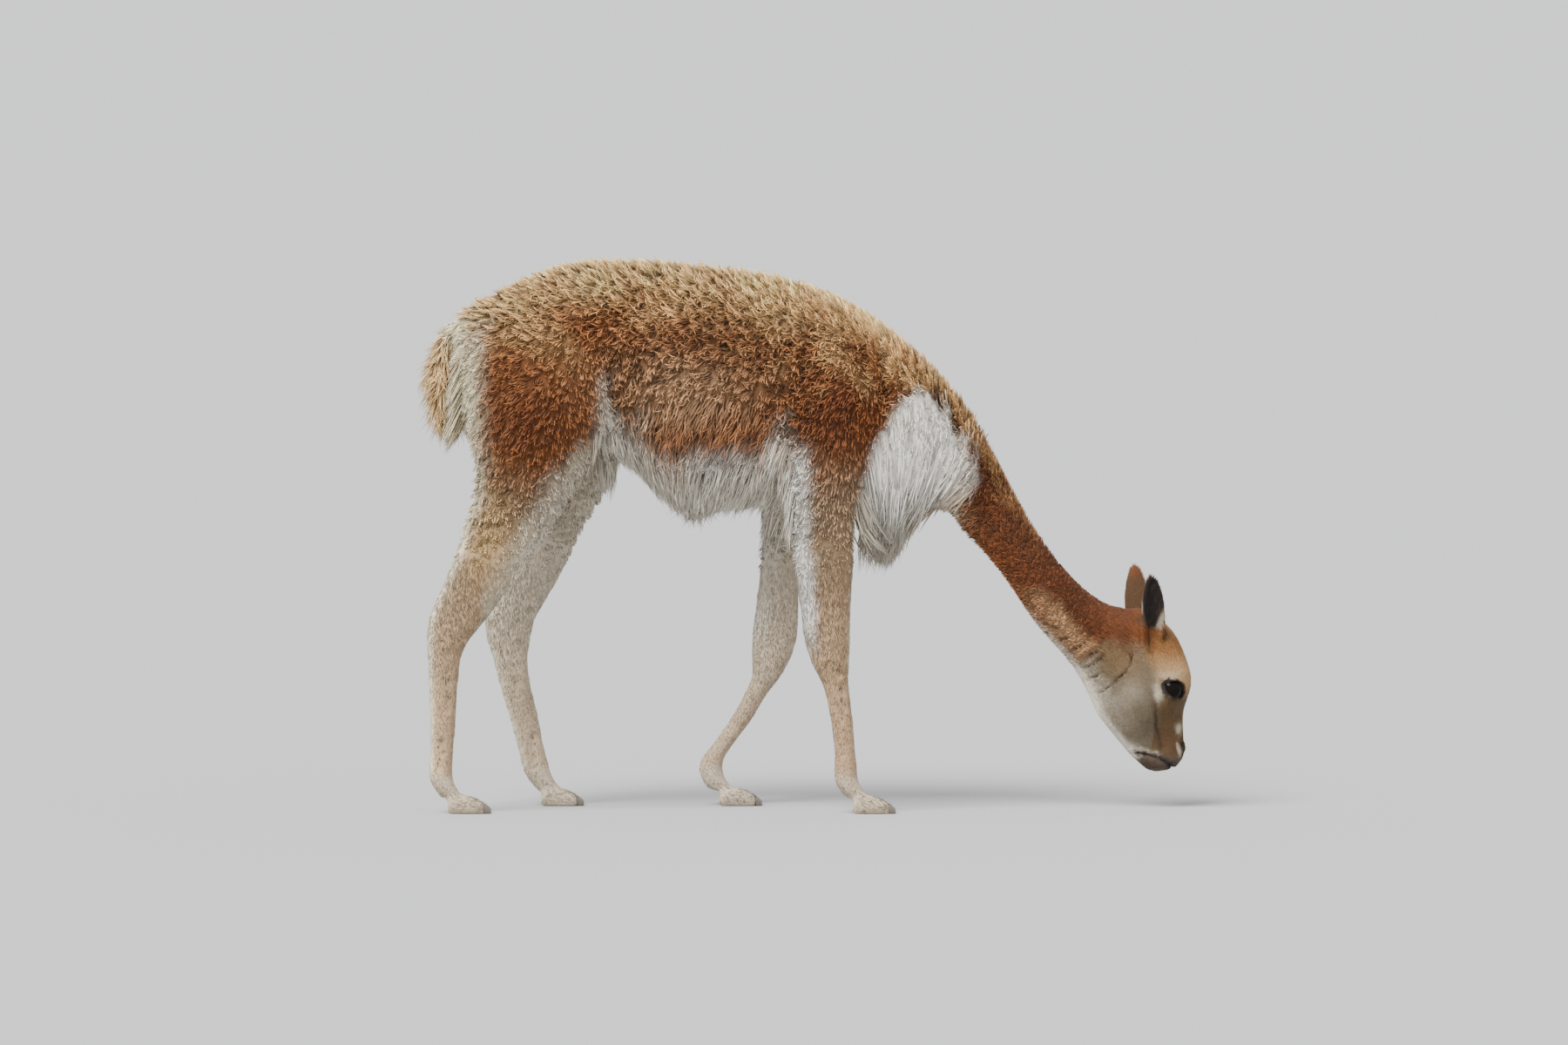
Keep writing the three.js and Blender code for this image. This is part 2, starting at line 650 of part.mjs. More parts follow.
// An eye, or the room that it takes.
const eyeball = (side, grow = 0) => {
  const radius = EYE_RADIUS + grow;
  return solid(moved(ball(eyeMiddle(side), new THREE.Vector3(radius, radius, radius)), turned));
};

// The lids are a thick ring round the eye, longer than it is high.
function lids(side) {
  const ringShape = new THREE.TorusGeometry(EYE_RADIUS * 0.92, LID_WIDTH / 2, 5, 12).scale(1.16, 0.92, 1);
  const facing = new THREE.Matrix4().lookAt(
    new THREE.Vector3(0.3, side * 0.94, 0.05), new THREE.Vector3(), new THREE.Vector3(0.3, 0, 1));
  const middle = eyeMiddle(side);
  ringShape.applyMatrix4(facing).translate(middle.x + 4, middle.y + side * 9.5, middle.z);
  return solid(moved(ringShape, turned));
}

// The line of the mouth in the side view, from its corner to past the front of the lips.
const MOUTH = [[523, 89], [554, 83], [575, 68], [604, 49]];

// A band along the line of the mouth, through the whole muzzle.
function mouthBand(height) {
  const above = MOUTH.map(([x, z]) => new THREE.Vector2(x, z + height / 2));
  const below = MOUTH.map(([x, z]) => new THREE.Vector2(x, z - height / 2)).reverse();
  const outline = new THREE.Shape([...above, ...below]);
  const band = new THREE.ExtrudeGeometry(outline, { depth: MOUTH_BAND, bevelEnabled: false });
  return solid(moved(band.rotateX(Math.PI / 2).translate(0, MOUTH_BAND / 2, 0), turned));
}

// A nostril is a slit that runs down beside the tip of the nose, in a raised rim.
function nostril(side, rim = 0) {
  const down = new THREE.Vector3(0.43, 0, -0.9).normalize();
  const out = new THREE.Vector3(0.76, side * 0.65, 0).projectOnPlane(down).normalize();
  const frame = new THREE.Matrix4().makeBasis(out.clone().cross(down), out, down);
  frame.setPosition(new THREE.Vector3(598, side * 16, 97).addScaledVector(out, -1.6 * rim));
  const { long, wide, deep } = NOSTRIL;
  const shape = ball(new THREE.Vector3(), new THREE.Vector3(wide + rim, deep, long + rim), 8, 6);
  return solid(moved(shape.applyMatrix4(frame), turned));
}

// A cupped ear stands on its base and opens sideways and ahead.
const EAR_BASE = (side) => new THREE.Vector3(544, side * 40, 262 + (side > 0 ? 6 : 0));
const EAR_TIP = (side) => new THREE.Vector3(537, side * 56, side > 0 ? 397 : 384);
const EAR_WIDTHS = [0.6, 0.62, 0.74, 0.88, 0.97, 1, 0.94, 0.8, 0.55, 0.1];

function ear(side) {
  const base = EAR_BASE(side);
  const along = EAR_TIP(side).sub(base);
  const up = along.clone().normalize();
  const opening = new THREE.Vector3(0.25, side, 0.1).projectOnPlane(up).normalize();
  const across = up.clone().cross(opening);
  const steps = EAR_WIDTHS.length - 1;
  const shape = moved(new THREE.CylinderGeometry(1, 1, 1, 14, steps), (p) => {
    const t = p.y + 0.5;
    const radial = Math.round(Math.hypot(p.x, p.z));
    const angle = Math.atan2(p.z, p.x);
    const u = Math.cos(angle) * radial;
    const cup = EAR_DEPTH * smoothstep(t, 0.26, 0.46) * (1 - 0.7 * t);
    const wall = lerp(EAR_DEPTH, EAR_WALL, smoothstep(t, 0.15, 0.4)) * (1 - 0.4 * t);
    const depth = Math.sin(angle) > 0 ? 0 : -wall * Math.abs(Math.sin(angle)) * radial;
    p.copy(base).addScaledVector(along, t);
    p.addScaledVector(across, u * (EAR_WIDTH / 2) * EAR_WIDTHS[Math.round(t * steps)]);
    p.addScaledVector(opening, depth + cup * (u * u - 0.2));
  });
  return solid(moved(shape, turned));
}

const skull = (grow = 0) =>
  solid(moved(SPINE.shape(SPINE.further(HEAD_START, GAP), SPINE.last, 26, 24, grow), turned));

function head() {
  const sides = [-1, 1];
  const lips = mouthBand(2 * LIP_HEIGHT).intersect(skull(LIP_SWELL));
  let whole = joined([skull(), lips, ...sides.flatMap((side) => [lids(side), nostril(side, NOSTRIL.rim)])]);
  whole = whole.subtract(mouthBand(MOUTH_GAP).subtract(skull(-MOUTH_DEPTH)));
  for (const side of sides) whole = whole.subtract(nostril(side)).subtract(eyeball(side, GAP));
  return largest(whole);
}

// The model

const model = new THREE.Group();

function add(name, body, material) {
  const mesh = new THREE.Mesh(untouched(surface(welded(body))), material);
  mesh.name = name;
  model.add(mesh);
}

let trunk = torso();
for (const { limb, cut } of LEGS) {
  trunk = trunk.subtract(solid(limb.shape(cut, cut + 3, LEG_SIDES, 3, 2 * GAP)));
}
add("torso", largest(trunk.subtract(tail(GAP))), COAT);
add("neck", neck(), COAT);
add("tail", tail(), COAT);
for (const each of LEGS) {
  const { body, nails } = leg(each);
  add(`leg_${each.name}`, body, SHANK);
  nails.forEach((nail, i) => add(`nail_${each.name}_${i + 1}`, nail, NAIL));
}
add("head", head(), FACE);
for (const [name, side] of [["near", -1], ["far", 1]]) {
  add(`eye_${name}`, eyeball(side), EYE);
  add(`ear_${name}`, largest(ear(side).subtract(skull(2 * GAP))), COAT);
}

export default model;
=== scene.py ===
# %% [markdown]
# # A life-size vicuna, grazing
#
# A vicuna is the smallest wild camelid of the high Andes. This one stands still with its head lowered to
# graze, as a museum would show it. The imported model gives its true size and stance. This script dresses it:
# one smooth skin, a coat of solid tufts on it, eyes with a wet shine, and horn nails.

# %% Load the frame
import math

import bmesh
import bpy
import numpy as np
from mathutils import Matrix, Vector, noise
from mathutils.kdtree import KDTree


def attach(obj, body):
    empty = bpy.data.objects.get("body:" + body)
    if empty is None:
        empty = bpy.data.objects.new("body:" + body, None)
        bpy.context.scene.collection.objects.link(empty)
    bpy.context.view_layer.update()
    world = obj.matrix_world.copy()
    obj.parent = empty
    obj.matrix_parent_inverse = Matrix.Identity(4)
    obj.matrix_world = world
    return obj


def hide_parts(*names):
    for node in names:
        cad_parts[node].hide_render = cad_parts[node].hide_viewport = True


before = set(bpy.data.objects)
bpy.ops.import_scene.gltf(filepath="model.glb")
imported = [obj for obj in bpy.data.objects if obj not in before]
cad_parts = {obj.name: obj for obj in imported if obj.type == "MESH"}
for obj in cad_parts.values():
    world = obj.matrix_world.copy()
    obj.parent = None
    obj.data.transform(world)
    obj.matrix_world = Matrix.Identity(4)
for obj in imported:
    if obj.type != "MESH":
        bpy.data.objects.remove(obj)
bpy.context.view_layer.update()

MM = 0.001
FLESH = [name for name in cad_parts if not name.startswith(("eye", "nail"))]
print("flesh nodes:", ", ".join(FLESH))

# %% [markdown]
# ## Camera
#
# The picture was taken with a long lens from far away, at about the height of the animal's chest. A long
# lens keeps the legs of both sides nearly the same size, so the camera stands 15 m off and its focal length
# is worked out from the width that it should take in at the middle plane of the body.

# %% Set up the camera
VIEW_WIDTH = 2.52
VIEW_MIDDLE = Vector((-0.043, 0.0, 0.462))
CAMERA_DISTANCE = 15.0
CAMERA_RISE = math.radians(2.5)
SENSOR = 36.0
FARTHEST_SEEN = 200

camera_data = bpy.data.cameras.new("camera")
camera_data.sensor_width = SENSOR
camera_data.lens = SENSOR * CAMERA_DISTANCE / VIEW_WIDTH
camera_data.clip_end = FARTHEST_SEEN
camera = bpy.data.objects.new("camera", camera_data)
to_camera = Vector((0, -math.cos(CAMERA_RISE), math.sin(CAMERA_RISE)))
camera.location = VIEW_MIDDLE + CAMERA_DISTANCE * to_camera
camera.rotation_euler = (math.pi / 2 - CAMERA_RISE, 0, 0)
bpy.context.collection.objects.link(camera)
bpy.context.scene.camera = camera
print(f"focal length {camera_data.lens:.0f} mm")

# %% [markdown]
# ## Studio
#
# The light is that of a bright overcast day: a sun with a very wide disc gives soft shade under the belly
# and in the creases, and the sky fills the rest. Lamps near the animal would leave a bright patch on the
# floor, but a sun lights it evenly however far it reaches. The sky is given the tone of the lit floor, so
# that no line shows where the floor ends.


# %% Lay the floor and light it
def link(name, bm):
    """Turns a bmesh into a linked object at the origin."""
    mesh = bpy.data.meshes.new(name)
    bm.to_mesh(mesh)
    bm.free()
    made = bpy.data.objects.new(name, mesh)
    bpy.context.collection.objects.link(made)
    return made


FLOOR_REACH = 400
FLOOR_TONE = 0.43
SKY = 1.18
SKY_COLOUR = (0.98, 0.99, 1.0, 1)
SUN_DISC = math.radians(35)
TO_SUN = Vector((-0.38, -0.48, 0.79)).normalized()

bm = bmesh.new()
bmesh.ops.create_grid(bm, x_segments=1, y_segments=1, size=FLOOR_REACH)
floor = link("floor", bm)

sun_data = bpy.data.lights.new("soft_sun", "SUN")
sun_data.angle = SUN_DISC
sun_data.energy = math.pi * SKY * (1 / FLOOR_TONE - 1) / TO_SUN.z
sun = bpy.data.objects.new("soft_sun", sun_data)
sun.rotation_euler = TO_SUN.to_track_quat("Z", "Y").to_euler()
bpy.context.collection.objects.link(sun)

world = bpy.data.worlds.new("sky")
world.use_nodes = True
world.node_tree.nodes["Background"].inputs["Color"].default_value = SKY_COLOUR
world.node_tree.nodes["Background"].inputs["Strength"].default_value = SKY
bpy.context.scene.world = world
print(f"sun {sun_data.energy:.2f} W/m2")

# %% [markdown]
# ## The measured rings
#
# A body like this is a few tapering tubes. Each is measured as a tape would do it: at a number of places,
# the front or top point, the back or bottom point, and half the width. A smooth curve through these points
# gives every ring between them. The numbers are in millimetres and give the outline at the tips of the coat.

# %% Rings of the trunk, neck and head, from the rump to the lips
# Top point, bottom point, half width, height of the widest place (-1 to 1), squareness (2 is an ellipse).
SPINE_ROWS = [
    ((-562, 797), (-560, 640), 52, 0.1, 2.2),
    ((-549, 813), (-549, 596), 92, 0.1, 2.2),
    ((-521, 828), (-524, 566), 116, 0.1, 2.2),
    ((-480, 847), (-484, 556), 128, 0.1, 2.2),
    ((-425, 871), (-428, 566), 134, 0.1, 2.2),
    ((-365, 886), (-365, 585), 137, 0.1, 2.2),
    ((-300, 888), (-300, 562), 142, 0, 2.2),
    ((-235, 886), (-235, 508), 150, -0.05, 2.1),
    ((-170, 880), (-170, 492), 155, -0.05, 2.1),
    ((-100, 871), (-105, 498), 153, -0.05, 2.1),
    ((-35, 858), (-45, 500), 146, -0.05, 2.1),
    ((30, 838), (10, 494), 138, -0.1, 2.1),
    ((85, 809), (60, 489), 130, -0.15, 2.1),
    ((125, 781), (100, 487), 121, -0.15, 2.1),
    ((160, 753), (140, 485), 110, -0.15, 2.1),
    ((196, 719), (176, 484), 97, -0.1, 2.1),
    ((232, 677), (207, 481), 84, -0.05, 2),
    ((265, 634), (222, 471), 74, 0, 2),
    ((300, 580), (237, 453), 65, 0, 2),
    ((330, 526), (251, 434), 59, 0, 2),
    ((357, 477), (268, 411), 56, 0, 2),
    ((383, 437), (293, 381), 54, 0, 2),
    ((410, 400), (321, 342), 54, 0, 2),
    ((440, 368), (349, 301), 54, 0, 2),
    ((467, 346), (377, 268), 55, 0, 2),
    ((492, 333), (402, 242), 55, 0.1, 2),
    ((518, 327), (420, 219), 54, 0.25, 2.1),
    ((543, 321), (432, 201), 53, 0.35, 2.2),
    ((567, 306), (441, 185), 52, 0.4, 2.2),
    ((586, 285), (450, 168), 52, 0.45, 2.2),
    ((600, 258), (462, 147), 53, 0.5, 2.3),
    ((609, 231), (476, 130), 54, 0.5, 2.4),
    ((612, 206), (488, 116), 52, 0.5, 2.4),
    ((608, 182), (498, 104), 44, 0.4, 2.3),
    ((603, 158), (507, 94), 36, 0.25, 2.2),
    ((602, 134), (516, 84), 31, 0.1, 2.2),
    ((603, 112), (525, 75), 29, 0.05, 2.2),
    ((604, 94), (534, 67), 28, 0, 2.2),
    ((600, 79), (543, 61), 26, 0, 2.1),
    ((589, 66), (556, 58), 16, 0, 2),
]
HEAD_START = 26  # the ring where the head begins
print(len(SPINE_ROWS), "rings from the rump to the lips")

# %% Rings of the tail and the legs
TAIL_ROWS = [
    ((-542, 772), (-560, 806), 20, 0, 2),
    ((-558, 758), (-586, 790), 28, 0, 2),
    ((-566, 736), (-605, 757), 35, 0, 2),
    ((-571, 704), (-613, 718), 38, 0, 2),
    ((-571, 674), (-610, 684), 36, 0, 2),
    ((-569, 646), (-600, 653), 29, 0, 2),
    ((-563, 620), (-580, 624), 12, 0, 2),
]
# Level, front and back of each ring of a leg. Rings lie closer where a joint bends or swells.
NEAR_HIND = [
    (800, -345, -515), (760, -305, -545), (700, -290, -556), (640, -300, -556), (600, -328, -553),
    (560, -347, -547), (520, -368, -547), (480, -394, -556), (440, -420, -567), (400, -459, -580),
    (360, -480, -596), (330, -500, -609), (303, -522, -616), (275, -544, -617), (245, -556, -616),
    (200, -561, -615), (150, -564, -613), (100, -568, -612), (72, -570, -614), (50, -568, -611),
    (28, -556, -598),
]
FAR_HIND = [
    (800, -345, -510), (760, -305, -535), (700, -288, -542), (640, -288, -536), (600, -296, -524),
    (560, -306, -508), (520, -318, -496), (480, -342, -487), (440, -366, -484), (405, -383, -492),
    (370, -401, -506), (335, -422, -521), (303, -441, -530), (270, -449, -527), (240, -453, -518),
    (200, -450, -508), (150, -438, -493), (100, -429, -479), (72, -422, -472), (50, -416, -465),
    (28, -404, -448),
]
NEAR_FORE = [
    (760, 60, -20), (710, 108, -48), (650, 130, -62), (590, 122, -60), (530, 100, -50), (475, 80, -41),
    (420, 77, -36), (365, 73, -29), (320, 69, -21), (280, 67, -15), (240, 65, -2), (208, 64, 14),
    (175, 68, 23), (135, 72, 30), (98, 75, 34), (72, 77, 34), (50, 80, 36), (28, 92, 50),
]
FAR_FORE = [
    (760, 60, -20), (710, 98, -58), (650, 108, -80), (590, 88, -88), (530, 50, -86), (475, 16, -80),
    (420, -4, -86), (365, -12, -90), (320, -14, -94), (280, -17, -98), (245, -26, -99), (210, -44, -99),
    (180, -67, -111), (140, -91, -133), (100, -121, -161), (75, -137, -180), (52, -138, -183),
    (28, -126, -170),
]
# Distance from the middle of the body and half width, the same for both legs of a pair.
HIND_GIRTH = [
    (72, 44), (84, 60), (90, 66), (92, 66), (93, 62), (94, 57), (93, 51), (92, 46), (91, 41), (90, 36),
    (88, 31), (87, 28), (86, 27), (86, 25), (86, 22), (86, 20), (86, 19), (86, 19), (86, 22), (86, 23),
    (86, 20),
]
FORE_GIRTH = [
    (74, 34), (84, 50), (88, 56), (89, 54), (89, 48), (88, 42), (87, 36), (86, 31), (86, 28), (86, 27),
    (86, 26), (86, 23), (86, 20), (86, 19), (86, 19), (86, 22), (86, 23), (86, 20),
]
# How far along a toe, how high and how wide, as shares of its length, height and width.
TOE_PROFILE = [(-0.02, 0.62, 0.3), (0.12, 1, 0.46), (0.36, 1.02, 0.5), (0.6, 0.86, 0.5), (0.78, 0.66, 0.44),
               (0.9, 0.46, 0.32), (1, 0.26, 0.16)]
TOE_WIDTH = 25
TOE_HEIGHT = 30
TOE_LENGTH = 68
TOE_START = 12
TOE_OVERLAP = 0.5
SOLE_DEPTH = 3
NAIL_LENGTH = 16
TOE_END = len(TOE_PROFILE) - 1
NAIL_START = TOE_END * (1 - NAIL_LENGTH / TOE_LENGTH)
print(len(TAIL_ROWS), "rings of the tail,", len(NEAR_HIND), "of a hind leg,", len(NEAR_FORE), "of a foreleg")


# %% [markdown]
# ## From rings to limbs
#
# A limb keeps its rings as smooth paths, so that any point of its surface can be asked for by how far along
# it lies and at what angle. The coat is as thick as each limb's own list says, and the skin lies below it.


# %% Define a limb
def smooth_path(points, s):
    """Points of a smooth curve through the given ones. A place s is counted in points."""
    last = len(points) - 1
    s = np.clip(s, 0, last)
    i = np.minimum(s.astype(int), last - 1)
    t = (s - i)[:, None]
    before, here = points[np.maximum(i - 1, 0)], points[i]
    ahead, beyond = points[i + 1], points[np.minimum(i + 2, last)]
    bend = (2 * before - 5 * here + 4 * ahead - beyond) * t**2
    bend = bend + (3 * here - before - 3 * ahead + beyond) * t**3
    return here + 0.5 * ((ahead - before) * t + bend)


def unit(vectors):
    """The same directions with a length of one."""
    return vectors / np.maximum(np.linalg.norm(vectors, axis=-1, keepdims=True), 1e-9)


class Limb:
    """A tube through measured rings, with a coat whose depth is given at some of its places."""

    def __init__(self, rings, coat):
        self.front = np.array([[a[0], y, a[1]] for a, b, y, *_ in rings]) * MM
        self.back = np.array([[b[0], y, b[1]] for a, b, y, *_ in rings]) * MM
        self.size = np.array([[width * MM, level, square] for _, _, _, width, level, square in rings])
        self.last = len(rings) - 1
        self.coat = coat

    def coat_at(self, s):
        places, depths = zip(*self.coat)
        return np.interp(s, places, depths) * MM

    def point(self, s, angle, swell=0.0):
        """Surface points. The angle is 0 on the left side and a quarter turn at the front or top."""
        a, b = smooth_path(self.front, s), smooth_path(self.back, s)
        width, level, square = smooth_path(self.size, s).T
        half = np.linalg.norm(a - b, axis=1) / 2
        cos, sin = np.cos(angle), np.sin(angle)
        across = np.sign(cos) * np.abs(cos) ** (2 / square) * (width + swell)
        rise = np.sign(sin) * np.abs(sin) ** (2 / square)
        height = half * (level + rise * (1 - np.sign(rise) * level)) + swell * rise
        points = (a + b) / 2 + unit(a - b) * height[:, None]
        points[:, 1] += across
        return points


# %% Make limbs from the rings
def leg_limb(rows, girth, side, coat):
    rings = []
    for (z, front, back), (y, width) in zip(rows, girth):
        rings.append(((front, z), (back, z), y * side, width, 0, 2))
    return Limb(rings, coat)


def middle_limb(rows, coat):
    return Limb([(a, b, 0, *size) for a, b, *size in rows], coat)


def toe_limbs(leg):
    """The two toes of a leg, side by side. Each points ahead from the heel."""
    heel = (leg.front[-3] + leg.back[-3]) / 2 / MM
    toes = []
    for half in (-1, 1):
        y = heel[1] + half * (TOE_WIDTH / 2 - TOE_OVERLAP)
        rings = []
        for t, top, width in TOE_PROFILE:
            x = heel[0] + TOE_START + t * TOE_LENGTH
            rings.append(((x, top * TOE_HEIGHT), (x, -SOLE_DEPTH), y, width * TOE_WIDTH, 0, 2.6))
        toes.append(Limb(rings, [(0, 1), (TOE_END, 1)]))
    return toes


# Each coat is given as places along the limb, counted in rings, and its depth there in millimetres.
SPINE = middle_limb(SPINE_ROWS, [(0, 14), (17, 15), (24, 11), (28, 7), (31, 4), (34, 2.5), (39, 1.5)])
TAIL = middle_limb(TAIL_ROWS, [(0, 14), (6, 9)])
HIND_COAT = [(0, 14), (6, 12), (9, 7), (12, 4), (20, 3)]
FORE_COAT = [(0, 14), (4, 12), (7, 7), (9, 4), (17, 3)]
LEGS = {
    "near_hind": leg_limb(NEAR_HIND, HIND_GIRTH, -1, HIND_COAT),
    "far_hind": leg_limb(FAR_HIND, HIND_GIRTH, 1, HIND_COAT),
    "near_fore": leg_limb(NEAR_FORE, FORE_GIRTH, -1, FORE_COAT),
    "far_fore": leg_limb(FAR_FORE, FORE_GIRTH, 1, FORE_COAT),
}
TOES = {name: toe_limbs(leg) for name, leg in LEGS.items()}
print("legs:", ", ".join(LEGS))


# %% [markdown]
# ## The skin, roughly
#
# Each limb starts as a flat sheet of squares that is rolled round it and welded. A voxel remesh then takes
# all the tubes as one lump of clay, so that legs flow into the trunk with no seam. The body needs squares of
# 6 mm. The head is made apart with squares of 2 mm, because its lips and lids are small.


# %% Roll sheets into tubes
WELD = 1e-5
# The lowest that skin and tufts may reach, so that nothing lies in the floor.
SKIN_FLOOR = 0.0002
TUFT_FLOOR = 0.0005


def positions(mesh):
    out = np.empty(len(mesh.vertices) * 3)
    mesh.vertices.foreach_get("co", out)
    return out.reshape(-1, 3)


def normals_of(mesh):
    out = np.empty(len(mesh.vertices) * 3)
    mesh.vertex_normals.foreach_get("vector", out)
    return out.reshape(-1, 3)


def move_points(made, points):
    """Gives each point of an object's mesh a new place."""
    made.data.vertices.foreach_set("co", points.ravel())
    made.data.update()


def shade_smooth(made):
    for polygon in made.data.polygons:
        polygon.use_smooth = True


def reshape_bmesh(bm, points):
    for vertex, place in zip(bm.verts, points):
        vertex.co = place


def tube(limb, start, end, steps, swell=lambda s: 0):
    """A stretch of a limb's skin as a closed bmesh."""
    bm = bmesh.new()
    bmesh.ops.create_grid(bm, x_segments=steps[0], y_segments=steps[1], size=0.5)
    flat = np.array([v.co for v in bm.verts])
    s = start + (flat[:, 0] + 0.5) * (end - start)
    angle = (flat[:, 1] + 0.5) * 2 * math.pi
    reshape_bmesh(bm, limb.point(s, angle, swell(s) - limb.coat_at(s)))
    bmesh.ops.remove_doubles(bm, verts=bm.verts, dist=WELD)
    bmesh.ops.holes_fill(bm, edges=[e for e in bm.edges if e.is_boundary], sides=0)
    bmesh.ops.recalc_face_normals(bm, faces=bm.faces)
    return bm


# %% Join, fuse and smooth
def join_bmeshes(name, parts):
    """One object of several loose closed shapes."""
    whole = bmesh.new()
    for part in parts:
        mesh = bpy.data.meshes.new("part")
        part.to_mesh(mesh)
        part.free()
        whole.from_mesh(mesh)
        bpy.data.meshes.remove(mesh)
    return link(name, whole)


def apply_modifiers(made):
    """Makes the modified shape the object's own mesh."""
    mesh = bpy.data.meshes.new_from_object(made.evaluated_get(bpy.context.evaluated_depsgraph_get()))
    made.modifiers.clear()
    made.data = mesh


def remesh(made, voxel):
    clay = made.modifiers.new("clay", "REMESH")
    clay.mode = "VOXEL"
    clay.voxel_size = voxel
    apply_modifiers(made)


def relax(made, times, keep=lambda points: np.zeros(len(points), bool)):
    """Smooths the mesh, apart from points to keep."""
    bm = bmesh.new()
    bm.from_mesh(made.data)
    kept = keep(positions(made.data))
    loose = [v for v, k in zip(bm.verts, kept) if not k]
    for _ in range(times):
        bmesh.ops.smooth_vert(bm, verts=loose, factor=0.5, use_axis_x=True, use_axis_y=True, use_axis_z=True)
    bm.to_mesh(made.data)
    bm.free()


# %% Fuse the tubes of the body
BODY_VOXEL = 0.006
JOINT_DIP = 0.006
# Above this height the skin is smoothed more, because the fleece hides it.
LEG_TOP = 0.42
TAIL_END = 5.8
# Steps along each tube and round it.
BODY_STEPS = (110, 40)
HEAD_STEPS = (150, 96)
LEG_STEPS = (80, 24)
TAIL_STEPS = (20, 16)
TOE_STEPS = (12, 16)
NAIL_STEPS = (16, 16)
# How far past the nail's measured start the toe's flesh ends, and the nail itself begins, in rings.
FLESH_PAST = 0.3
NAIL_PAST = 0.05


def dip(overlap):
    """The trunk and the head shrink where one runs into the other, so that no edge shows there."""
    return -JOINT_DIP * np.clip(overlap, 0, 1)


body_parts = [tube(SPINE, 0, HEAD_START + 1, BODY_STEPS, lambda s: dip(s - HEAD_START))]
body_parts.append(tube(TAIL, 0, TAIL_END, TAIL_STEPS))
for name, leg in LEGS.items():
    body_parts.append(tube(leg, 0, leg.last, LEG_STEPS))
    body_parts += [tube(toe, 0, NAIL_START + FLESH_PAST, TOE_STEPS) for toe in TOES[name]]
skin = join_bmeshes("skin", body_parts)
remesh(skin, BODY_VOXEL)
relax(skin, 6, lambda points: points[:, 2] < LEG_TOP)
relax(skin, 2)
print("body", len(skin.data.vertices), "points")

# %% [markdown]
# ## The head
#
# The head starts as a tube as well, with an ear on each side. Each ear is a leaf-shaped sheet that is rolled
# into a cup and given a wall. The lips, brows and lids come later, when head and body are one.


# %% Place the eyes and model the ears
EYE_RADIUS = 0.018
EYE_MIDDLE = np.array([0.571, 0.0435, 0.194])
EAR_BASE = np.array([0.541, 0.040, 0.262])
EAR_TIP = np.array([0.534, 0.056, 0.386])
FAR_EAR_LIFT = 0.013
EAR_OPENING = np.array([0.25, 1, 0.1])
EAR_WIDTH = 0.047
EAR_WALL = 0.004
EAR_CUP = 0.017
EAR_ROLL = 1.15
# How wide the ear is, as a share, at places from its base to its tip.
EAR_LEAF = [[0, 0.25, 0.5, 0.65, 0.8, 0.9, 0.96, 1], [0.6, 0.85, 1, 0.97, 0.80, 0.60, 0.42, 0.16]]


def ear_axes(along, side):
    """The directions up an ear, out of its opening and across it."""
    up = unit(along)
    opening = EAR_OPENING * [1, side, 1]
    opening = unit(opening - up * (opening @ up))
    return up, opening, np.cross(up, opening)


def ear_sheet(side):
    """One ear: a leaf-shaped sheet, rolled into a cup that opens sideways, with a wall of its own."""
    mirror = np.array([1, side, 1])
    base, tip = EAR_BASE * mirror, EAR_TIP * mirror
    if side > 0:
        tip = tip + np.array([0, 0, FAR_EAR_LIFT])
    up, opening, across = ear_axes(tip - base, side)
    bm = bmesh.new()
    bmesh.ops.create_grid(bm, x_segments=40, y_segments=24, size=1)
    flat = np.array([v.co for v in bm.verts])
    t, u = (flat[:, 0] + 1) / 2, flat[:, 1]
    half = np.interp(t, *EAR_LEAF) * EAR_WIDTH / 2
    cup = EAR_CUP * (1 - 0.55 * t) * (0.35 + 0.65 * np.clip(t * 3, 0, 1))
    bend = u * EAR_ROLL
    points = base + np.outer(t - 0.08, tip - base) + np.outer(np.sin(bend) * half, across)
    points += np.outer(cup * (1 - np.cos(bend)) * 1.9 - cup * 0.5, opening)
    reshape_bmesh(bm, points)
    bmesh.ops.recalc_face_normals(bm, faces=bm.faces)
    bmesh.ops.solidify(bm, geom=bm.faces[:], thickness=EAR_WALL)
    bmesh.ops.recalc_face_normals(bm, faces=bm.faces)
    return bm


print("ears", round(float(np.linalg.norm(EAR_TIP - EAR_BASE)), 3), "m long")

# %% Fuse the head and its ears
HEAD_VOXEL = 0.002
# How far the head's tube reaches back into the neck, and up to where it shrinks there, in rings.
HEAD_OVERLAP = 0.6
HEAD_DIP_END = HEAD_START + 0.2

head_tube = tube(SPINE, HEAD_START - HEAD_OVERLAP, SPINE.last, HEAD_STEPS, lambda s: dip(HEAD_DIP_END - s))
head = join_bmeshes("head_clay", [head_tube, ear_sheet(-1), ear_sheet(1)])
remesh(head, HEAD_VOXEL)
relax(head, 3)
print("head", len(head.data.vertices), "points")

# %% Fuse head and body
fuse = skin.modifiers.new("fuse", "BOOLEAN")
fuse.operation = "UNION"
fuse.solver = "MANIFOLD"
fuse.object = head
apply_modifiers(skin)
bpy.data.objects.remove(head)
print("fused", len(skin.data.vertices), "points")

# %% [markdown]
# ## Turning the head
#
# The tubes are straight, but the neck turns the head a little to the animal's left, away from the camera. So
# every piece ahead of the withers is bent along one smooth curve. The creases are read off the side view as
# it is after that turn, and so the turn is worked out first and used last.


# %% Bend the neck
HEAD_TURN = 0.2
TURN_FROM = 0.290
TURN_TO = 0.415


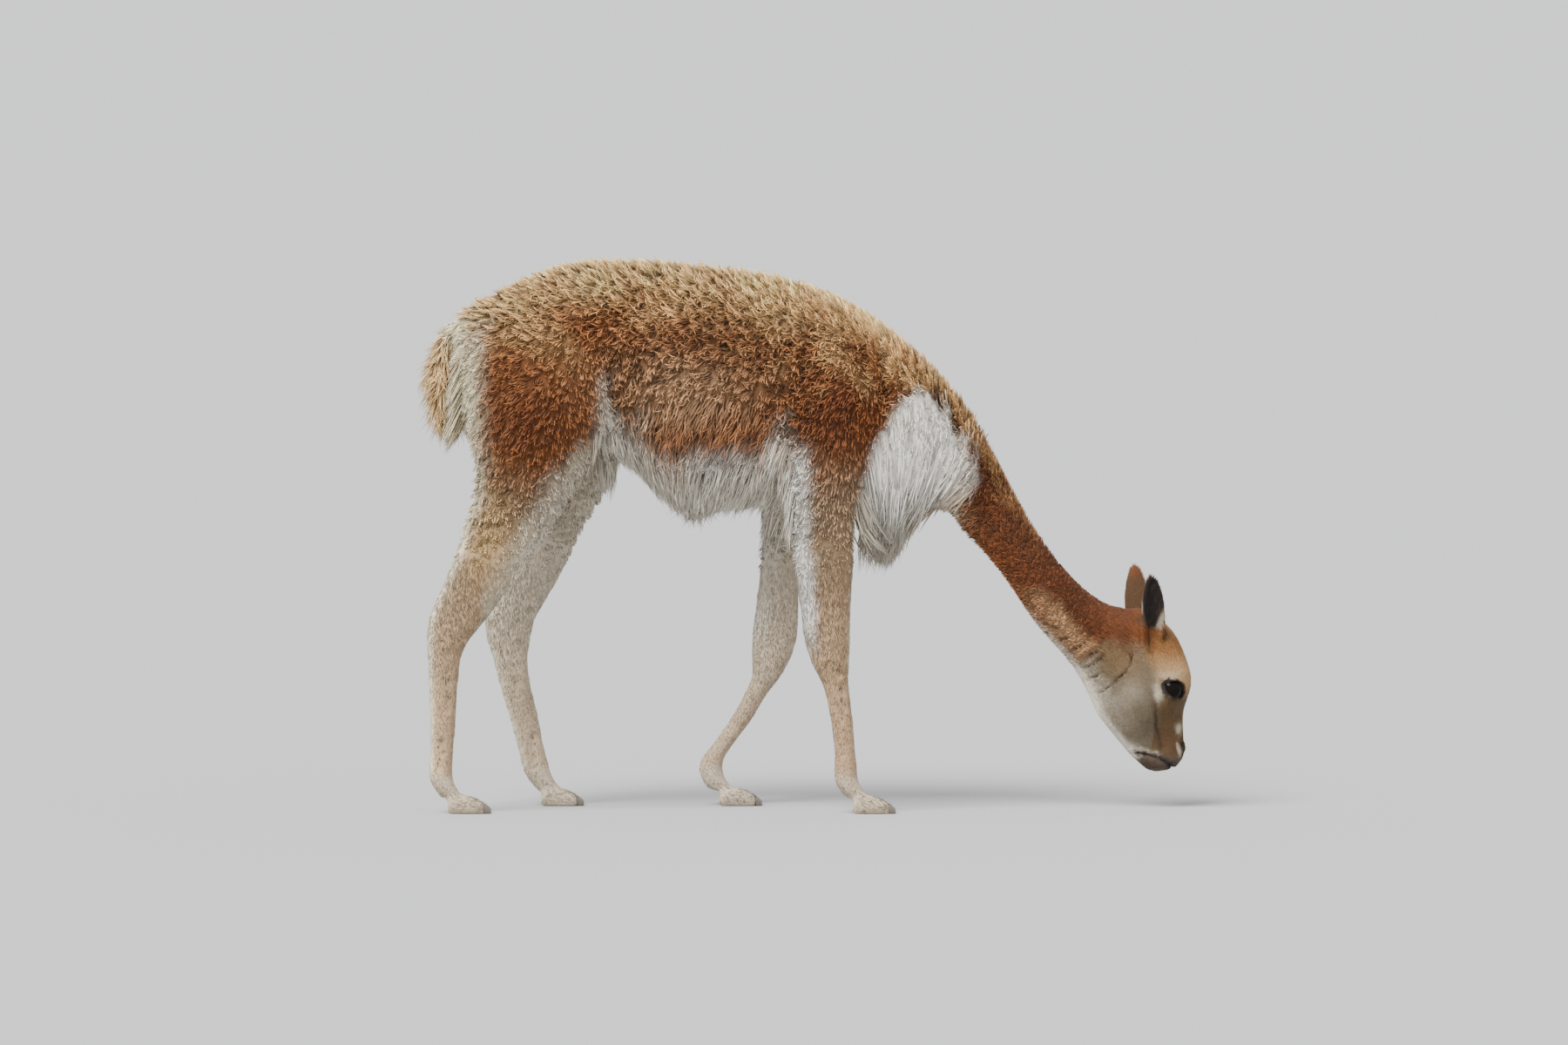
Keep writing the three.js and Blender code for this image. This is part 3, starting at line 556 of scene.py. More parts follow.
def turned(points):
    """The same points after the neck has turned."""
    span = TURN_TO - TURN_FROM
    t = np.clip((points[:, 0] - TURN_FROM) / span, 0, 1)
    angle = HEAD_TURN * t * t * (3 - 2 * t)
    drift = HEAD_TURN * (span * (t**3 - t**4 / 2) + np.maximum(0, points[:, 0] - TURN_TO))
    x = points[:, 0] - points[:, 1] * np.sin(angle)
    return np.stack([x, drift + points[:, 1] * np.cos(angle), points[:, 2]], axis=1)


nose_drift = turned(np.array([[SPINE.front[-1, 0], 0, 0]]))[0, 1]
print(f"the nose moves {abs(nose_drift) / MM:.0f} mm sideways")

# %% [markdown]
# ## Shaping the face
#
# Small soft forms are pushed into the fused skin or pulled out of it, as a thumb does in clay. Each one has a
# middle, a size along each axis and a depth. Grooves follow lines of the side view: the mouth and the
# creases. The lids are shaped on the eyeball itself: round the opening the skin lies a little outside the
# ball, and within the opening it sinks below it.


# %% Soft forms
def step(value, low, high):
    """0 below the low value, 1 above the high one, and smooth between them."""
    t = np.clip((value - low) / (high - low), 0, 1)
    return t * t * (3 - 2 * t)


def peak(distance, width):
    """1 where a distance is 0, falling to 0 on both sides over the given width."""
    return np.exp(-((distance / width) ** 2))


def near(points, middle, radii, turn=0.0):
    """1 at the middle of a soft ellipsoid, falling to 0 outside it. The turn tips it about the Y axis."""
    cos, sin = math.cos(turn), math.sin(turn)
    d = points - np.array(middle)
    local = np.stack([cos * d[:, 0] + sin * d[:, 2], d[:, 1], -sin * d[:, 0] + cos * d[:, 2]], axis=1)
    return np.exp(-((local / np.array(radii)) ** 2).sum(axis=1))


def spot(points, x, z, long, high):
    """1 at a place of the side view, falling to 0 so far along and so far up from it."""
    return near(points * [1, 0, 1], (x, 0, z), (long, 1, high))


# %% Lines and noise
def distance_to_line(points, line):
    """How far points of the side view lie from a line through the given places."""
    flat = points[:, [0, 2]]
    best = np.full(len(flat), np.inf)
    for a, b in zip(line, line[1:]):
        a, b = np.array(a), np.array(b)
        t = np.clip(((flat - a) @ (b - a)) / ((b - a) @ (b - a)), 0, 1)
        best = np.minimum(best, np.linalg.norm(flat - a - t[:, None] * (b - a), axis=1))
    return best


def groove(points, lines, width):
    """1 on the nearest of some lines, falling to 0 at its sides."""
    return peak(np.min([distance_to_line(points, line) for line in lines], axis=0), width)


def waves(points, size, seed):
    """Smooth random values between about -1 and 1, that change over the given size."""
    shift = Vector((seed * 7.3, seed * 3.1, seed * 5.7))
    return np.array([noise.noise(Vector(p) / size + shift) for p in points])


def creases(points, lines, width):
    """Uneven cracks along some lines of the side view, on both sides of the body."""
    wander = np.stack([waves(points, 0.008, 5), 0 * points[:, 0], waves(points, 0.008, 6)], axis=1)
    strength = 0.75 + 0.5 * waves(points, 0.012, 7)
    crack = groove(turned(points) + wander * CREASE_WANDER, lines, width)
    return crack * strength * step(np.abs(points[:, 1]), 0.012, 0.03)


def mirrored(points):
    """The same points, all on the left side, because the two sides of a face are alike."""
    return points * [1, 0, 1] + np.abs(points[:, [1]]) * [0, 1, 0]


def sides_of(points):
    """Factors that put mirrored places back on the side of the body where the points are."""
    side = np.where(points[:, 1] < 0, -1.0, 1.0)
    return np.stack([np.ones_like(side), side, np.ones_like(side)], axis=1)


# %% Lines of the face and the coat
# Places of the side view in metres. The three lines are those of the straight head, the creases those of the
# turned one.
CREASE_WANDER = 0.0022
MOUTH_LINE = [(0.521, 0.0895), (0.538, 0.087), (0.554, 0.082), (0.575, 0.068), (0.606, 0.048)]
THROAT_LINE = [(0.345, 0.304), (0.404, 0.240), (0.441, 0.185), (0.476, 0.130), (0.507, 0.094)]
TEAR_LINE = [(0.541, 0.184), (0.545, 0.165), (0.549, 0.140), (0.554, 0.118), (0.560, 0.098)]
FACE_CREASES = [
    [(0.366, 0.304), (0.396, 0.292)], [(0.386, 0.266), (0.412, 0.276)],
    [(0.402, 0.248), (0.424, 0.256), (0.440, 0.268)], [(0.418, 0.232), (0.440, 0.244), (0.464, 0.256)],
    [(0.430, 0.219), (0.452, 0.232), (0.474, 0.248)], [(0.442, 0.203), (0.452, 0.210), (0.464, 0.216)],
    [(0.460, 0.183), (0.478, 0.194), (0.492, 0.208), (0.506, 0.220), (0.516, 0.238), (0.518, 0.250)],
]
COAT_CREASES = [
    [(-0.539, 0.549), (-0.500, 0.543), (-0.465, 0.548)], [(-0.535, 0.519), (-0.505, 0.523), (-0.478, 0.516)],
    [(-0.539, 0.497), (-0.510, 0.503), (-0.486, 0.497)], [(-0.539, 0.468), (-0.512, 0.462), (-0.490, 0.468)],
    [(-0.536, 0.567), (-0.500, 0.570)], [(-0.500, 0.440), (-0.520, 0.436), (-0.534, 0.428)],
    [(0.115, 0.750), (0.118, 0.700), (0.124, 0.648)],
    [(0.003, 0.770), (-0.004, 0.730), (-0.014, 0.690)], [(0.146, 0.700), (0.152, 0.665)],
    [(0.085, 0.735), (0.090, 0.700)], [(0.176, 0.690), (0.186, 0.655), (0.196, 0.625)],
    [(0.205, 0.660), (0.214, 0.630)], [(0.228, 0.625), (0.240, 0.590), (0.246, 0.560)],
    [(0.045, 0.535), (0.066, 0.528), (0.085, 0.532)], [(0.040, 0.515), (0.062, 0.510)],
    [(-0.580, 0.230), (-0.578, 0.168)], [(-0.592, 0.117), (-0.594, 0.074)],
    [(-0.448, 0.114), (-0.446, 0.064)], [(-0.476, 0.202), (-0.474, 0.179)],
    [(0.045, 0.230), (0.052, 0.150)], [(-0.310, 0.755), (-0.322, 0.700), (-0.312, 0.640)],
]
print(len(FACE_CREASES), "creases on the face,", len(COAT_CREASES), "in the coat")

# %% Places of the eye and the nostril
LID = 0.0024
EYE_SINK = 0.004
EYE_REACH = 0.034
EYE_OUT = unit(np.array([0.30, 0.94, 0.05]))
EYE_LONG = unit(np.cross(EYE_OUT, [0.27, 0, 1.0]))
EYE_HIGH = np.cross(EYE_LONG, EYE_OUT)
# Half length, half height above the middle and below it, and how far the opening slants.
EYE_OPENING = (0.0172, 0.0120, 0.0135, 0.12)
NOSTRIL = np.array([0.598, 0.016, 0.097])
NOSTRIL_DOWN = unit(np.array([0.43, 0.0, -0.9]))
NOSTRIL_OUT = unit(np.array([0.69, 0.65, 0.33]))
NOSTRIL_LONG = 0.0105
print("eye", round(2 * EYE_RADIUS / MM), "mm across, nostril", round(2 * NOSTRIL_LONG / MM), "mm long")


def eye_places(one_side):
    """Where points lie on the eye: their height out from its middle, the height of the ball there, how far
    across the opening they are (1 is its edge), and whether they are near the eye at all."""
    v = one_side - EYE_MIDDLE
    half_long, above, below, slant = EYE_OPENING
    height = v @ EYE_OUT
    a, b = v @ EYE_LONG, v @ EYE_HIGH
    b = b + slant * a
    opening = np.sqrt((a / half_long) ** 2 + (b / np.where(b > 0, above, below)) ** 2)
    ball = np.sqrt(np.maximum(EYE_RADIUS**2 - (v**2).sum(axis=1) + height**2, 0))
    return height, ball, opening, (np.linalg.norm(v, axis=1) < EYE_REACH) & (height > 0)


def nostril_places(one_side):
    """How far points lie across the slit of the nostril, along it, and out from it."""
    v = one_side - NOSTRIL
    return v @ np.cross(NOSTRIL_DOWN, NOSTRIL_OUT), v @ NOSTRIL_DOWN, v @ NOSTRIL_OUT


# %% Press and pull the skin
# Depth, middle, size along each axis and tilt of the lids, the brow, the hollow before the eye, the cheek and
# the upper lip.
FACE_FORMS = [
    (0.0045, EYE_MIDDLE + [0.002, 0.004, 0.004], (0.034, 0.03, 0.028), 0),
    (0.0035, EYE_MIDDLE + [0.004, 0, 0.028], (0.026, 0.02, 0.010), -0.2),
    (-0.0045, EYE_MIDDLE + [0.016, -0.004, -0.040], (0.014, 0.02, 0.020), 0),
    (0.003, (0.520, 0.045, 0.170), (0.028, 0.02, 0.034), 0),
    (0.002, (0.574, 0.024, 0.092), (0.016, 0.02, 0.016), 0),
]
TEAR_DEPTH = 0.0025
LIP_FULLNESS = 0.0016
MOUTH_DEPTH = 0.0042
CLEFT_DEPTH = 0.003
NOSTRIL_RIM = 0.0022
NOSTRIL_DEPTH = 0.0080
FACE_CREASE_DEPTH = 0.0020
COAT_CREASE_DEPTH = 0.0045
# The face lies ahead of this x and below this height.
FACE_FROM = 0.36
FACE_TOP = 0.36


def face_push(points, one_side):
    """How far each point of the face is pulled out, or pressed in where the number is below 0."""
    push = sum(depth * near(one_side, middle, radii, turn) for depth, middle, radii, turn in FACE_FORMS)
    push -= TEAR_DEPTH * groove(one_side, [TEAR_LINE], 0.006)
    push += LIP_FULLNESS * (groove(points, [MOUTH_LINE], 0.0085) - groove(points, [MOUTH_LINE], 0.0045))
    push -= MOUTH_DEPTH * groove(points, [MOUTH_LINE], 0.0020)
    push -= CLEFT_DEPTH * peak(points[:, 1], 0.002) * spot(points, 0.602, 0.074, 0.01, 0.018)
    across, along, away = nostril_places(one_side)
    is_slit = step(np.abs(along), NOSTRIL_LONG, NOSTRIL_LONG - 0.006) * (np.abs(away) < 0.016)
    push += NOSTRIL_RIM * peak(np.abs(across) - 0.0062, 0.0028) * is_slit
    push -= NOSTRIL_DEPTH * peak(across, 0.0031) * is_slit
    return push - FACE_CREASE_DEPTH * creases(points, FACE_CREASES, 0.0022)


def lid_lift(one_side):
    """How far points move along the eye's axis, on to the lids or down into the opening."""
    height, ball, opening, is_near = eye_places(one_side)
    lid = ball + LID * step(opening, 2.2, 1.2) - EYE_SINK * step(opening, 1.08, 0.92)
    around = np.maximum(lid - height, 0) * step(opening, 2.0, 1.3)
    return np.where(opening < 1.1, lid - height, around) * is_near


points = positions(skin.data)
outward = normals_of(skin.data)
is_face = (points[:, 0] > FACE_FROM) & (points[:, 2] < FACE_TOP)
push = face_push(points, mirrored(points))
points = points + outward * (push * is_face)[:, None]
dent = COAT_CREASE_DEPTH * creases(points, COAT_CREASES, 0.0045)
points = points - outward * (dent * ~is_face)[:, None]
lift = lid_lift(mirrored(points))
move_points(skin, points + lift[:, None] * EYE_OUT * sides_of(points))
print("lids moved", int((np.abs(lift) > 0.0005).sum()), "points")

# %% Turn the finished skin
straight = positions(skin.data)
straight[:, 2] = np.maximum(straight[:, 2], SKIN_FLOOR)
straight_normals = normals_of(skin.data)
move_points(skin, turned(straight))
shade_smooth(skin)
print("skin", len(skin.data.polygons), "faces")

# %% [markdown]
# ## Markings
#
# The same markings colour the skin and the coat, so that a gap between tufts shows the same marking; under
# the fleece the skin is darkened as painted shade. They are worked out for any point of the straight body
# from where it lies and which way it faces: gold on the back as painted top light, cinnamon on the flanks,
# thighs and neck, white on the belly and bib, cream on the throat and the inner sides of the legs. Painted
# shade darkens the thigh, the shoulder, a band below the back, the creases and a place below the ear. Noise
# shifts each border, because hair of one colour always grows out over the other.


# %% Define the colours
def paint(red, green, blue):
    """A colour from its sRGB values as Blender's linear ones."""
    c = np.array([red, green, blue]) / 255
    return np.where(c <= 0.04045, c / 12.92, ((c + 0.055) / 1.055) ** 2.4)


def mixed(colour, other, share):
    return colour + (other - colour) * share


def blend(colours, other, weight):
    """Colours of many points, with another one blended in by a weight of each point."""
    return mixed(colours, other, weight[:, None])


def dab(colours, points, spots):
    """Colours of many points, with spots of the side view blended in one over the other."""
    for tone, strength, *place in spots:
        colours = blend(colours, tone, strength * spot(points, *place))
    return colours


GOLD = paint(254, 208, 142)
CINNAMON = paint(172, 106, 58)
DEEP_BROWN = paint(126, 70, 36)
FLANK_TAN = paint(208, 160, 116)
NECK_BROWN = paint(116, 66, 34)
WHITE = paint(246, 240, 229)
CREAM = paint(226, 212, 188)
LEG_TAN = paint(194, 164, 130)
RUMP_CREAM = paint(255, 238, 202)
BELLY_WHITE = paint(240, 230, 212)
CHEEK_GREY = paint(101, 89, 71)
BRIDGE_TAN = paint(94, 74, 50)
FOREHEAD_TAN = paint(166, 132, 92)
CROWN_ORANGE = paint(134, 87, 44)
MUZZLE_BROWN = paint(90, 66, 44)
LIP_GREY = paint(62, 55, 52)
EAR_GREY = paint(34, 30, 28)
EAR_BACK = paint(90, 65, 43)
CREASE_SHADE = paint(60, 38, 24)
PASTERN_TAN = mixed(LEG_TAN, CREAM, 0.6)
CHIN_BROWN = mixed(MUZZLE_BROWN, LIP_GREY, 0.6)
TAIL_GOLD = mixed(GOLD, CREAM, 0.15)
CHEEK_SHADE = FOREHEAD_TAN * 0.7
EAR_ROOT_SHADE = DEEP_BROWN * 0.5
EAR_FRONT_TAN = CREAM * 0.45
NOSTRIL_DARK = LIP_GREY * 0.6
LID_DARK = LIP_GREY * 0.5
print("back", GOLD.round(2), "sides", CINNAMON.round(2))

# %% Outlines of the markings
# Places of the side view in metres.
BELLY_EDGE = [(-0.334, 0.705), (-0.326, 0.690), (-0.312, 0.640), (-0.282, 0.585), (-0.240, 0.550),
              (-0.183, 0.528), (-0.141, 0.526), (-0.113, 0.537), (-0.085, 0.562), (-0.066, 0.600),
              (-0.046, 0.640), (-0.026, 0.60), (-0.030, 0.40), (-0.36, 0.40), (-0.35, 0.56), (-0.338, 0.64)]
BIB_EDGE = [(0.146, 0.660), (0.185, 0.668), (0.218, 0.644), (0.248, 0.592), (0.272, 0.535), (0.252, 0.508),
            (0.192, 0.494), (0.165, 0.440), (0.120, 0.360), (0.074, 0.430), (0.076, 0.500), (0.100, 0.600)]
NECK_EDGE = [(0.20, 0.76), (0.17, 0.68), (0.25, 0.55), (0.28, 0.44), (0.325, 0.375), (0.365, 0.318),
             (0.402, 0.282), (0.452, 0.270), (0.505, 0.258), (0.520, 0.300), (0.52, 0.36), (0.40, 0.46),
             (0.30, 0.66)]
# Height, and how far across the hind leg its cream front begins there (0 is the rear edge, 1 the front).
CREAM_FRONT = [(0.23, 1.4), (0.28, 1.1), (0.30, 0.85), (0.336, 0.52), (0.406, 0.38), (0.462, 0.42),
               (0.546, 0.56), (0.602, 0.74), (0.66, 1.0)]
# Colour, strength, middle of a spot in the side view, and its reach along and up.
TRUNK_SPOTS = [
    (FLANK_TAN, 1, -0.20, 0.69, 0.14, 0.065),
    # The deep brown spots on the thigh and the shoulder are painted shade; the third darkens the lower flank.
    (DEEP_BROWN, 0.75, -0.45, 0.63, 0.07, 0.08),
    (DEEP_BROWN, 0.95, 0.045, 0.645, 0.085, 0.09),
    (DEEP_BROWN, 0.55, -0.13, 0.585, 0.10, 0.045),
    (LEG_TAN, 0.8, 0.225, 0.475, 0.045, 0.022),
]
# A band of painted shade on the side, below the back.
PAINTED_SADDLE_SHADE = [(DEEP_BROWN, 0.65, -0.14, 0.762, 0.09, 0.04)]
GASKIN_SPOT = [(GOLD, 0.7, -0.515, 0.45, 0.045, 0.08)]
# A painted shadow below the root of the ear.
EAR_ROOT_SHADOW = [(EAR_ROOT_SHADE, 0.85, 0.511, 0.276, 0.010, 0.024)]
CHEEK_SPOTS = [
    (CREAM, 0.20, 0.515, 0.190, 0.022, 0.020),
    (FOREHEAD_TAN, 0.6, 0.580, 0.280, 0.012, 0.020),
]
print("white of the belly up to", max(z for _, z in BELLY_EDGE), "m, bib down to",
      min(z for _, z in BIB_EDGE), "m")


def inside(points, outline, blur):
    """1 inside an outline of the side view, 0 outside, with a soft edge."""
    x, z = points[:, 0], points[:, 2]
    hits = np.zeros(len(points), bool)
    for (x1, z1), (x2, z2) in zip(outline, outline[1:] + outline[:1]):
        crosses = (z1 > z) != (z2 > z)
        with np.errstate(divide="ignore", invalid="ignore"):
            hits ^= crosses & (x < (x2 - x1) * (z - z1) / (z2 - z1) + x1)
    away = distance_to_line(points, outline + outline[:1])
    return step(np.where(hits, away, -away), -blur, blur)


def across_leg(points):
    """How far points lie from the rear edge (0) to the front edge (1) of the leg that they are on."""
    x, y, z = points.T
    share = np.full(len(points), 0.5)
    for name, leg in LEGS.items():
        level = leg.front[::-1, 2]
        front = np.interp(z, level, leg.front[::-1, 0])
        back = np.interp(z, level, leg.back[::-1, 0])
        mine = ((x < -0.2) == ("hind" in name)) & ((y < 0) == ("near" in name))
        share = np.where(mine, (x - back) / (front - back), share)
    return share


# %% Mark the trunk and the legs
def trunk_colour(points, normals, rough, fine):
    """Cinnamon sides, orange-brown neck, gold as painted top light, painted shade on thigh, shoulder, saddle.
    """
    x, _, z = points.T
    colour = dab(np.tile(CINNAMON, (len(points), 1)), points, TRUNK_SPOTS)
    is_neck = inside(points, NECK_EDGE, 0.02)
    colour = blend(colour, NECK_BROWN, is_neck)
    colour = blend(colour, DEEP_BROWN, 0.7 * is_neck * step(rough, -0.1, 0.4))
    # Gold on faces that point up and on the top of the rump is painted top light.
    painted_top_light = step(normals[:, 2] + 0.3 * rough + 0.2 * fine, 0.15, 0.95) * step(x, 0.42, 0.2)
    painted_rump_light = 0.8 * step(z + 0.5 * (x + 0.5), 0.74, 0.82) * step(x, -0.36, -0.46)
    colour = blend(colour, GOLD, np.maximum(painted_top_light, painted_rump_light))
    return dab(colour, points, PAINTED_SADDLE_SHADE)


def leg_colour(colour, points, normals, fine):
    """Tan lower legs with pale edges, a cream front to the hind leg, a pale rump, and cream inner sides."""
    x, y, z = points.T
    hind, behind_neck = x < -0.2, x < 0.25
    fore = ~hind & behind_neck
    share = across_leg(points) + 0.08 * fine
    front_edge = np.interp(z, *np.array(CREAM_FRONT).T)
    thigh_down = step(z, 0.70, 0.60) * hind * step(share - step(z, 0.56, 0.50), 1.2, 1.08)
    colour = blend(colour, CREAM, thigh_down * step(share, front_edge, front_edge + 0.26))
    tan = np.maximum(step(z, 0.58, 0.46) * hind, 0.9 * step(z, 0.61, 0.48) * fore)
    colour = blend(colour, LEG_TAN, tan * np.where(hind, step(share, front_edge + 0.3, front_edge), 1))
    colour = dab(colour, points, GASKIN_SPOT)
    elbow = step(z, 0.62, 0.56) * step(z, 0.24, 0.32) * step(share, 0.42, 0.24)
    colour = blend(colour, WHITE, fore * elbow)
    edges = np.maximum(step(share, 0.16, 0.02), step(share, 0.86, 0.98)) * step(z, 0.55, 0.45)
    colour = blend(colour, CREAM, 0.8 * edges * behind_neck)
    rear = step(-normals[:, 0], 0.30, 0.85) * hind * step(z, 0.83, 0.78)
    colour = blend(colour, RUMP_CREAM, 0.95 * rear)
    colour = blend(colour, PASTERN_TAN, step(z, 0.075, 0.05) * behind_neck)
    inner = step(-normals[:, 1] * np.sign(y), -0.1, 0.4) * (np.abs(y) < 0.2) * (x < 0.16)
    inner = inner * step(z, 0.62, 0.55)
    return blend(colour, CREAM, inner * np.interp(z, [0.15, 0.36], [0.35, 0.9]))


# %% Mark the crown and the throat
# Each helper takes the colours so far, and gives them with its own part of the head marked. Exact places are
# read where a border is smooth, and ragged ones, which noise has shifted, where it isn't.
def past_throat(points):
    """How far ahead of the line from the nape to the throat points lie, where the head begins."""
    return points[:, 0] - 0.40 - 0.91 * (points[:, 2] - 0.215)


def crown_colour(colour, exact, ragged, throat, is_head, fine):
    """Grey cheeks, a tan forehead, an orange crown, the brown poll behind it, and a painted shadow below the
    ear.
    """
    x, _, z = exact.T
    colour = blend(colour, CHEEK_GREY, is_head)
    colour = blend(colour, CHEEK_SHADE, 0.8 * is_head * spot(ragged, 0.480, 0.245, 0.05, 0.035))
    colour = blend(colour, FOREHEAD_TAN, is_head * step(x + 0.35 * z, 0.61, 0.64) * step(z, 0.17, 0.20))
    crown = step(z + 0.008 * fine, 0.222, 0.262) * step(x, 0.525, 0.545)
    colour = blend(colour, CROWN_ORANGE, is_head * crown)
    poll = step(z + 0.01 * fine, 0.250, 0.280) * step(x + 0.008 * fine, 0.562, 0.535) * step(x, 0.33, 0.43)
    colour = blend(colour, NECK_BROWN, poll * step(throat + 0.006 * fine, 0.040, 0.065))
    return dab(colour, turned(ragged), EAR_ROOT_SHADOW)


def throat_colour(colour, exact, ragged, throat, is_head, is_pale, fine):
    """A cream jaw, and white along the throat and between the jaws."""
    x, y, z = exact.T
    jaw = step(throat + 0.008 * fine, 0.052, 0.010) * np.interp(z, [0.10, 0.15, 0.19], [0.05, 0.20, 0.62])
    colour = blend(colour, CREAM, is_head * jaw)
    colour = dab(colour, turned(ragged), CHEEK_SPOTS)
    white = np.maximum(step(throat, 0.013, 0.003), step(y, 0.026, 0.010) * step(throat, 0.030, 0.018))
    return blend(colour, BELLY_WHITE, 0.85 * is_pale * white * step(x, 0.30, 0.40))


# %% Mark the muzzle, the eyes and the mouth
def muzzle_colour(colour, exact, ragged, one_side, normals, is_head):
    """Brown ahead of the tear line and on the muzzle, and pale hair down the bridge of the nose."""
    x, _, z = exact.T
    ahead = distance_to_line(ragged, TEAR_LINE) * np.sign(x - 0.548 + 0.1 * (0.14 - z))
    side = step(ahead, 0.0, 0.008) * step(z, 0.186, 0.172) * step(z, 0.085, 0.1)
    colour = blend(colour, BRIDGE_TAN, is_head * side)
    muzzle = near(one_side, (0.575, 0.026, 0.108), (0.020, 0.02, 0.030))
    colour = blend(colour, MUZZLE_BROWN, np.minimum(1, 1.3 * muzzle))
    bridge = step(normals[:, 0], 0.80, 0.97) * step(z, 0.11, 0.13) * step(z, 0.215, 0.18)
    colour = blend(colour, CREAM, 0.4 * bridge * is_head)
    return blend(colour, CREAM, 0.7 * near(one_side, (0.590, 0.026, 0.128), (0.006, 0.02, 0.008)))


def eye_rim_colour(colour, exact, one_side, rough, is_head):
    """Cream behind and above the eye, and painted shade along the tear line in front of it."""
    behind = near(one_side, EYE_MIDDLE + [-0.023, 0.002, -0.006], (0.007, 0.02, 0.013))
    above = near(one_side, EYE_MIDDLE + [-0.004, 0.002, 0.021], (0.018, 0.02, 0.005))
    colour = blend(colour, CREAM, 0.75 * behind)
    colour = blend(colour, CREAM, 0.45 * above)
    tear = groove(one_side, [TEAR_LINE], 0.0040) * (0.75 + 0.4 * rough) * step(exact[:, 1], 0.01, 0.02)
    return blend(colour, CREASE_SHADE, 0.85 * tear * is_head)


def mouth_colour(colour, exact, ragged, one_side, is_head):
    """A grey-brown chin, dark lips with a pale edge above, and a pale rim round painted shade in each
    nostril.
    """
    x = exact[:, 0]
    # The chin's grey-brown is partly its own colour, partly painted shade under the jaw.
    colour = blend(colour, CHIN_BROWN, spot(ragged, 0.545, 0.070, 0.020, 0.012))
    lips = groove(ragged, [MOUTH_LINE], 0.0075) * step(x, 0.556, 0.568)
    lips = lips + 0.8 * groove(ragged, [MOUTH_LINE], 0.0028)
    colour = blend(colour, LIP_GREY, np.minimum(1, 1.3 * lips) * is_head)
    above_mouth = [(px, pz + 0.0055) for px, pz in MOUTH_LINE[:4]]
    pale_edge = groove(ragged, [above_mouth], 0.0025) * step(x, 0.560, 0.550)
    colour = blend(colour, CREAM, 0.45 * pale_edge * is_head)
    across, along, away = nostril_places(one_side)
    near_nostril = (np.abs(away) < 0.02) * is_head
    rim = peak(across + 0.0112, 0.0024) * step(np.abs(along), NOSTRIL_LONG + 0.004, NOSTRIL_LONG - 0.004)
    # The dark of the slit is painted shade in the nostril's opening.
    slit = peak(across, 0.0062) * step(np.abs(along), NOSTRIL_LONG + 0.003, NOSTRIL_LONG - 0.004)
    colour = blend(colour, CREAM, 0.6 * rim * near_nostril)
    return blend(colour, NOSTRIL_DARK, slit * near_nostril)


# %% Put the markings of the head together
def head_colour(colour, points, normals, rough, fine):
    """The head's markings, the same on both sides, with dark lids and painted shade in the creases over them.
    """
    exact = mirrored(points)
    one_side = exact + np.stack([0.003 * fine, 0 * fine, 0.005 * waves(points, 0.005, 8)], axis=1)
    ragged = one_side * sides_of(points)
    throat = distance_to_line(ragged, THROAT_LINE)
    is_head = step(past_throat(ragged), 0.0, 0.03)
    lower_neck = step(throat + 0.008 * fine, 0.062, 0.044) * step(exact[:, 0], 0.31, 0.41)
    colour = blend(colour, FLANK_TAN, lower_neck)
    colour = crown_colour(colour, exact, ragged, throat, is_head, fine)
    colour = throat_colour(colour, exact, ragged, throat, is_head, np.maximum(is_head, lower_neck), fine)
    colour = muzzle_colour(colour, exact, ragged, one_side, normals, is_head)
    colour = eye_rim_colour(colour, exact, one_side, rough, is_head)
    colour = mouth_colour(colour, exact, ragged, one_side, is_head)
    _, _, opening, is_near = eye_places(one_side)
    colour = blend(colour, LID_DARK, step(opening, 1.42, 1.12) * is_near)
    return blend(colour, CREASE_SHADE, np.minimum(1, 1.5 * creases(ragged, FACE_CREASES, 0.0012)))


# %% Mark the ears and put the markings together
def ear_places(one_side):
    """How far up the ear points lie (0 to 1), how far across it (1 is the rim), and whether near it at all.
    The last value is the direction in which the cup opens."""
    v = one_side - EAR_BASE
    along = EAR_TIP - EAR_BASE
    up, opening, sideways = ear_axes(along, 1)
    t = (v @ up) / np.linalg.norm(along)
    across = np.abs(v @ sideways) / (np.interp(t, *EAR_LEAF) * EAR_WIDTH / 2)
    is_ear = (t > 0.20) & (t < 1.2) & (np.abs(v @ opening) < 0.016)
    return t, across, is_ear & (across < np.interp(t, [0.2, 0.5], [0.75, 1.12])), opening


def ear_colour(colour, points, normals):
    """A dark cup with a pale rim and base, and a brown back."""
    t, across, is_ear, opening = ear_places(mirrored(points))
    faces_out = step(mirrored(normals) @ opening, 0.0, 0.25) * (normals[:, 1] * points[:, 1] > 0)
    colour = blend(colour, EAR_BACK, is_ear * step(t, 0.2, 0.35))
    colour = blend(colour, DEEP_BROWN, 0.6 * is_ear * step(t, 0.8, 0.95))
    cup_edge = np.interp(t, [0.12, 0.30, 0.55, 1], [0.05, 0.42, 0.80, 0.80])
    cup = step(across, cup_edge + 0.16, cup_edge - 0.12)
    front = step(points[:, 0] - EAR_BASE[0], 0.0, 0.008) * step(t, 0.55, 0.32)
    colour = blend(colour, EAR_FRONT_TAN, is_ear * front * faces_out * (1 - cup))
    streak = step(waves(points * [1, 1, 0.25], 0.004, 9), 0.1, 0.5)
    colour = blend(colour, EAR_GREY, is_ear * faces_out * cup * (1 - 0.25 * streak))
    rim = step(across, 0.78, 0.92) * step(t, 0.99, 0.85) * step(t, 0.42, 0.56)
    return blend(colour, CREAM, 0.8 * is_ear * rim)


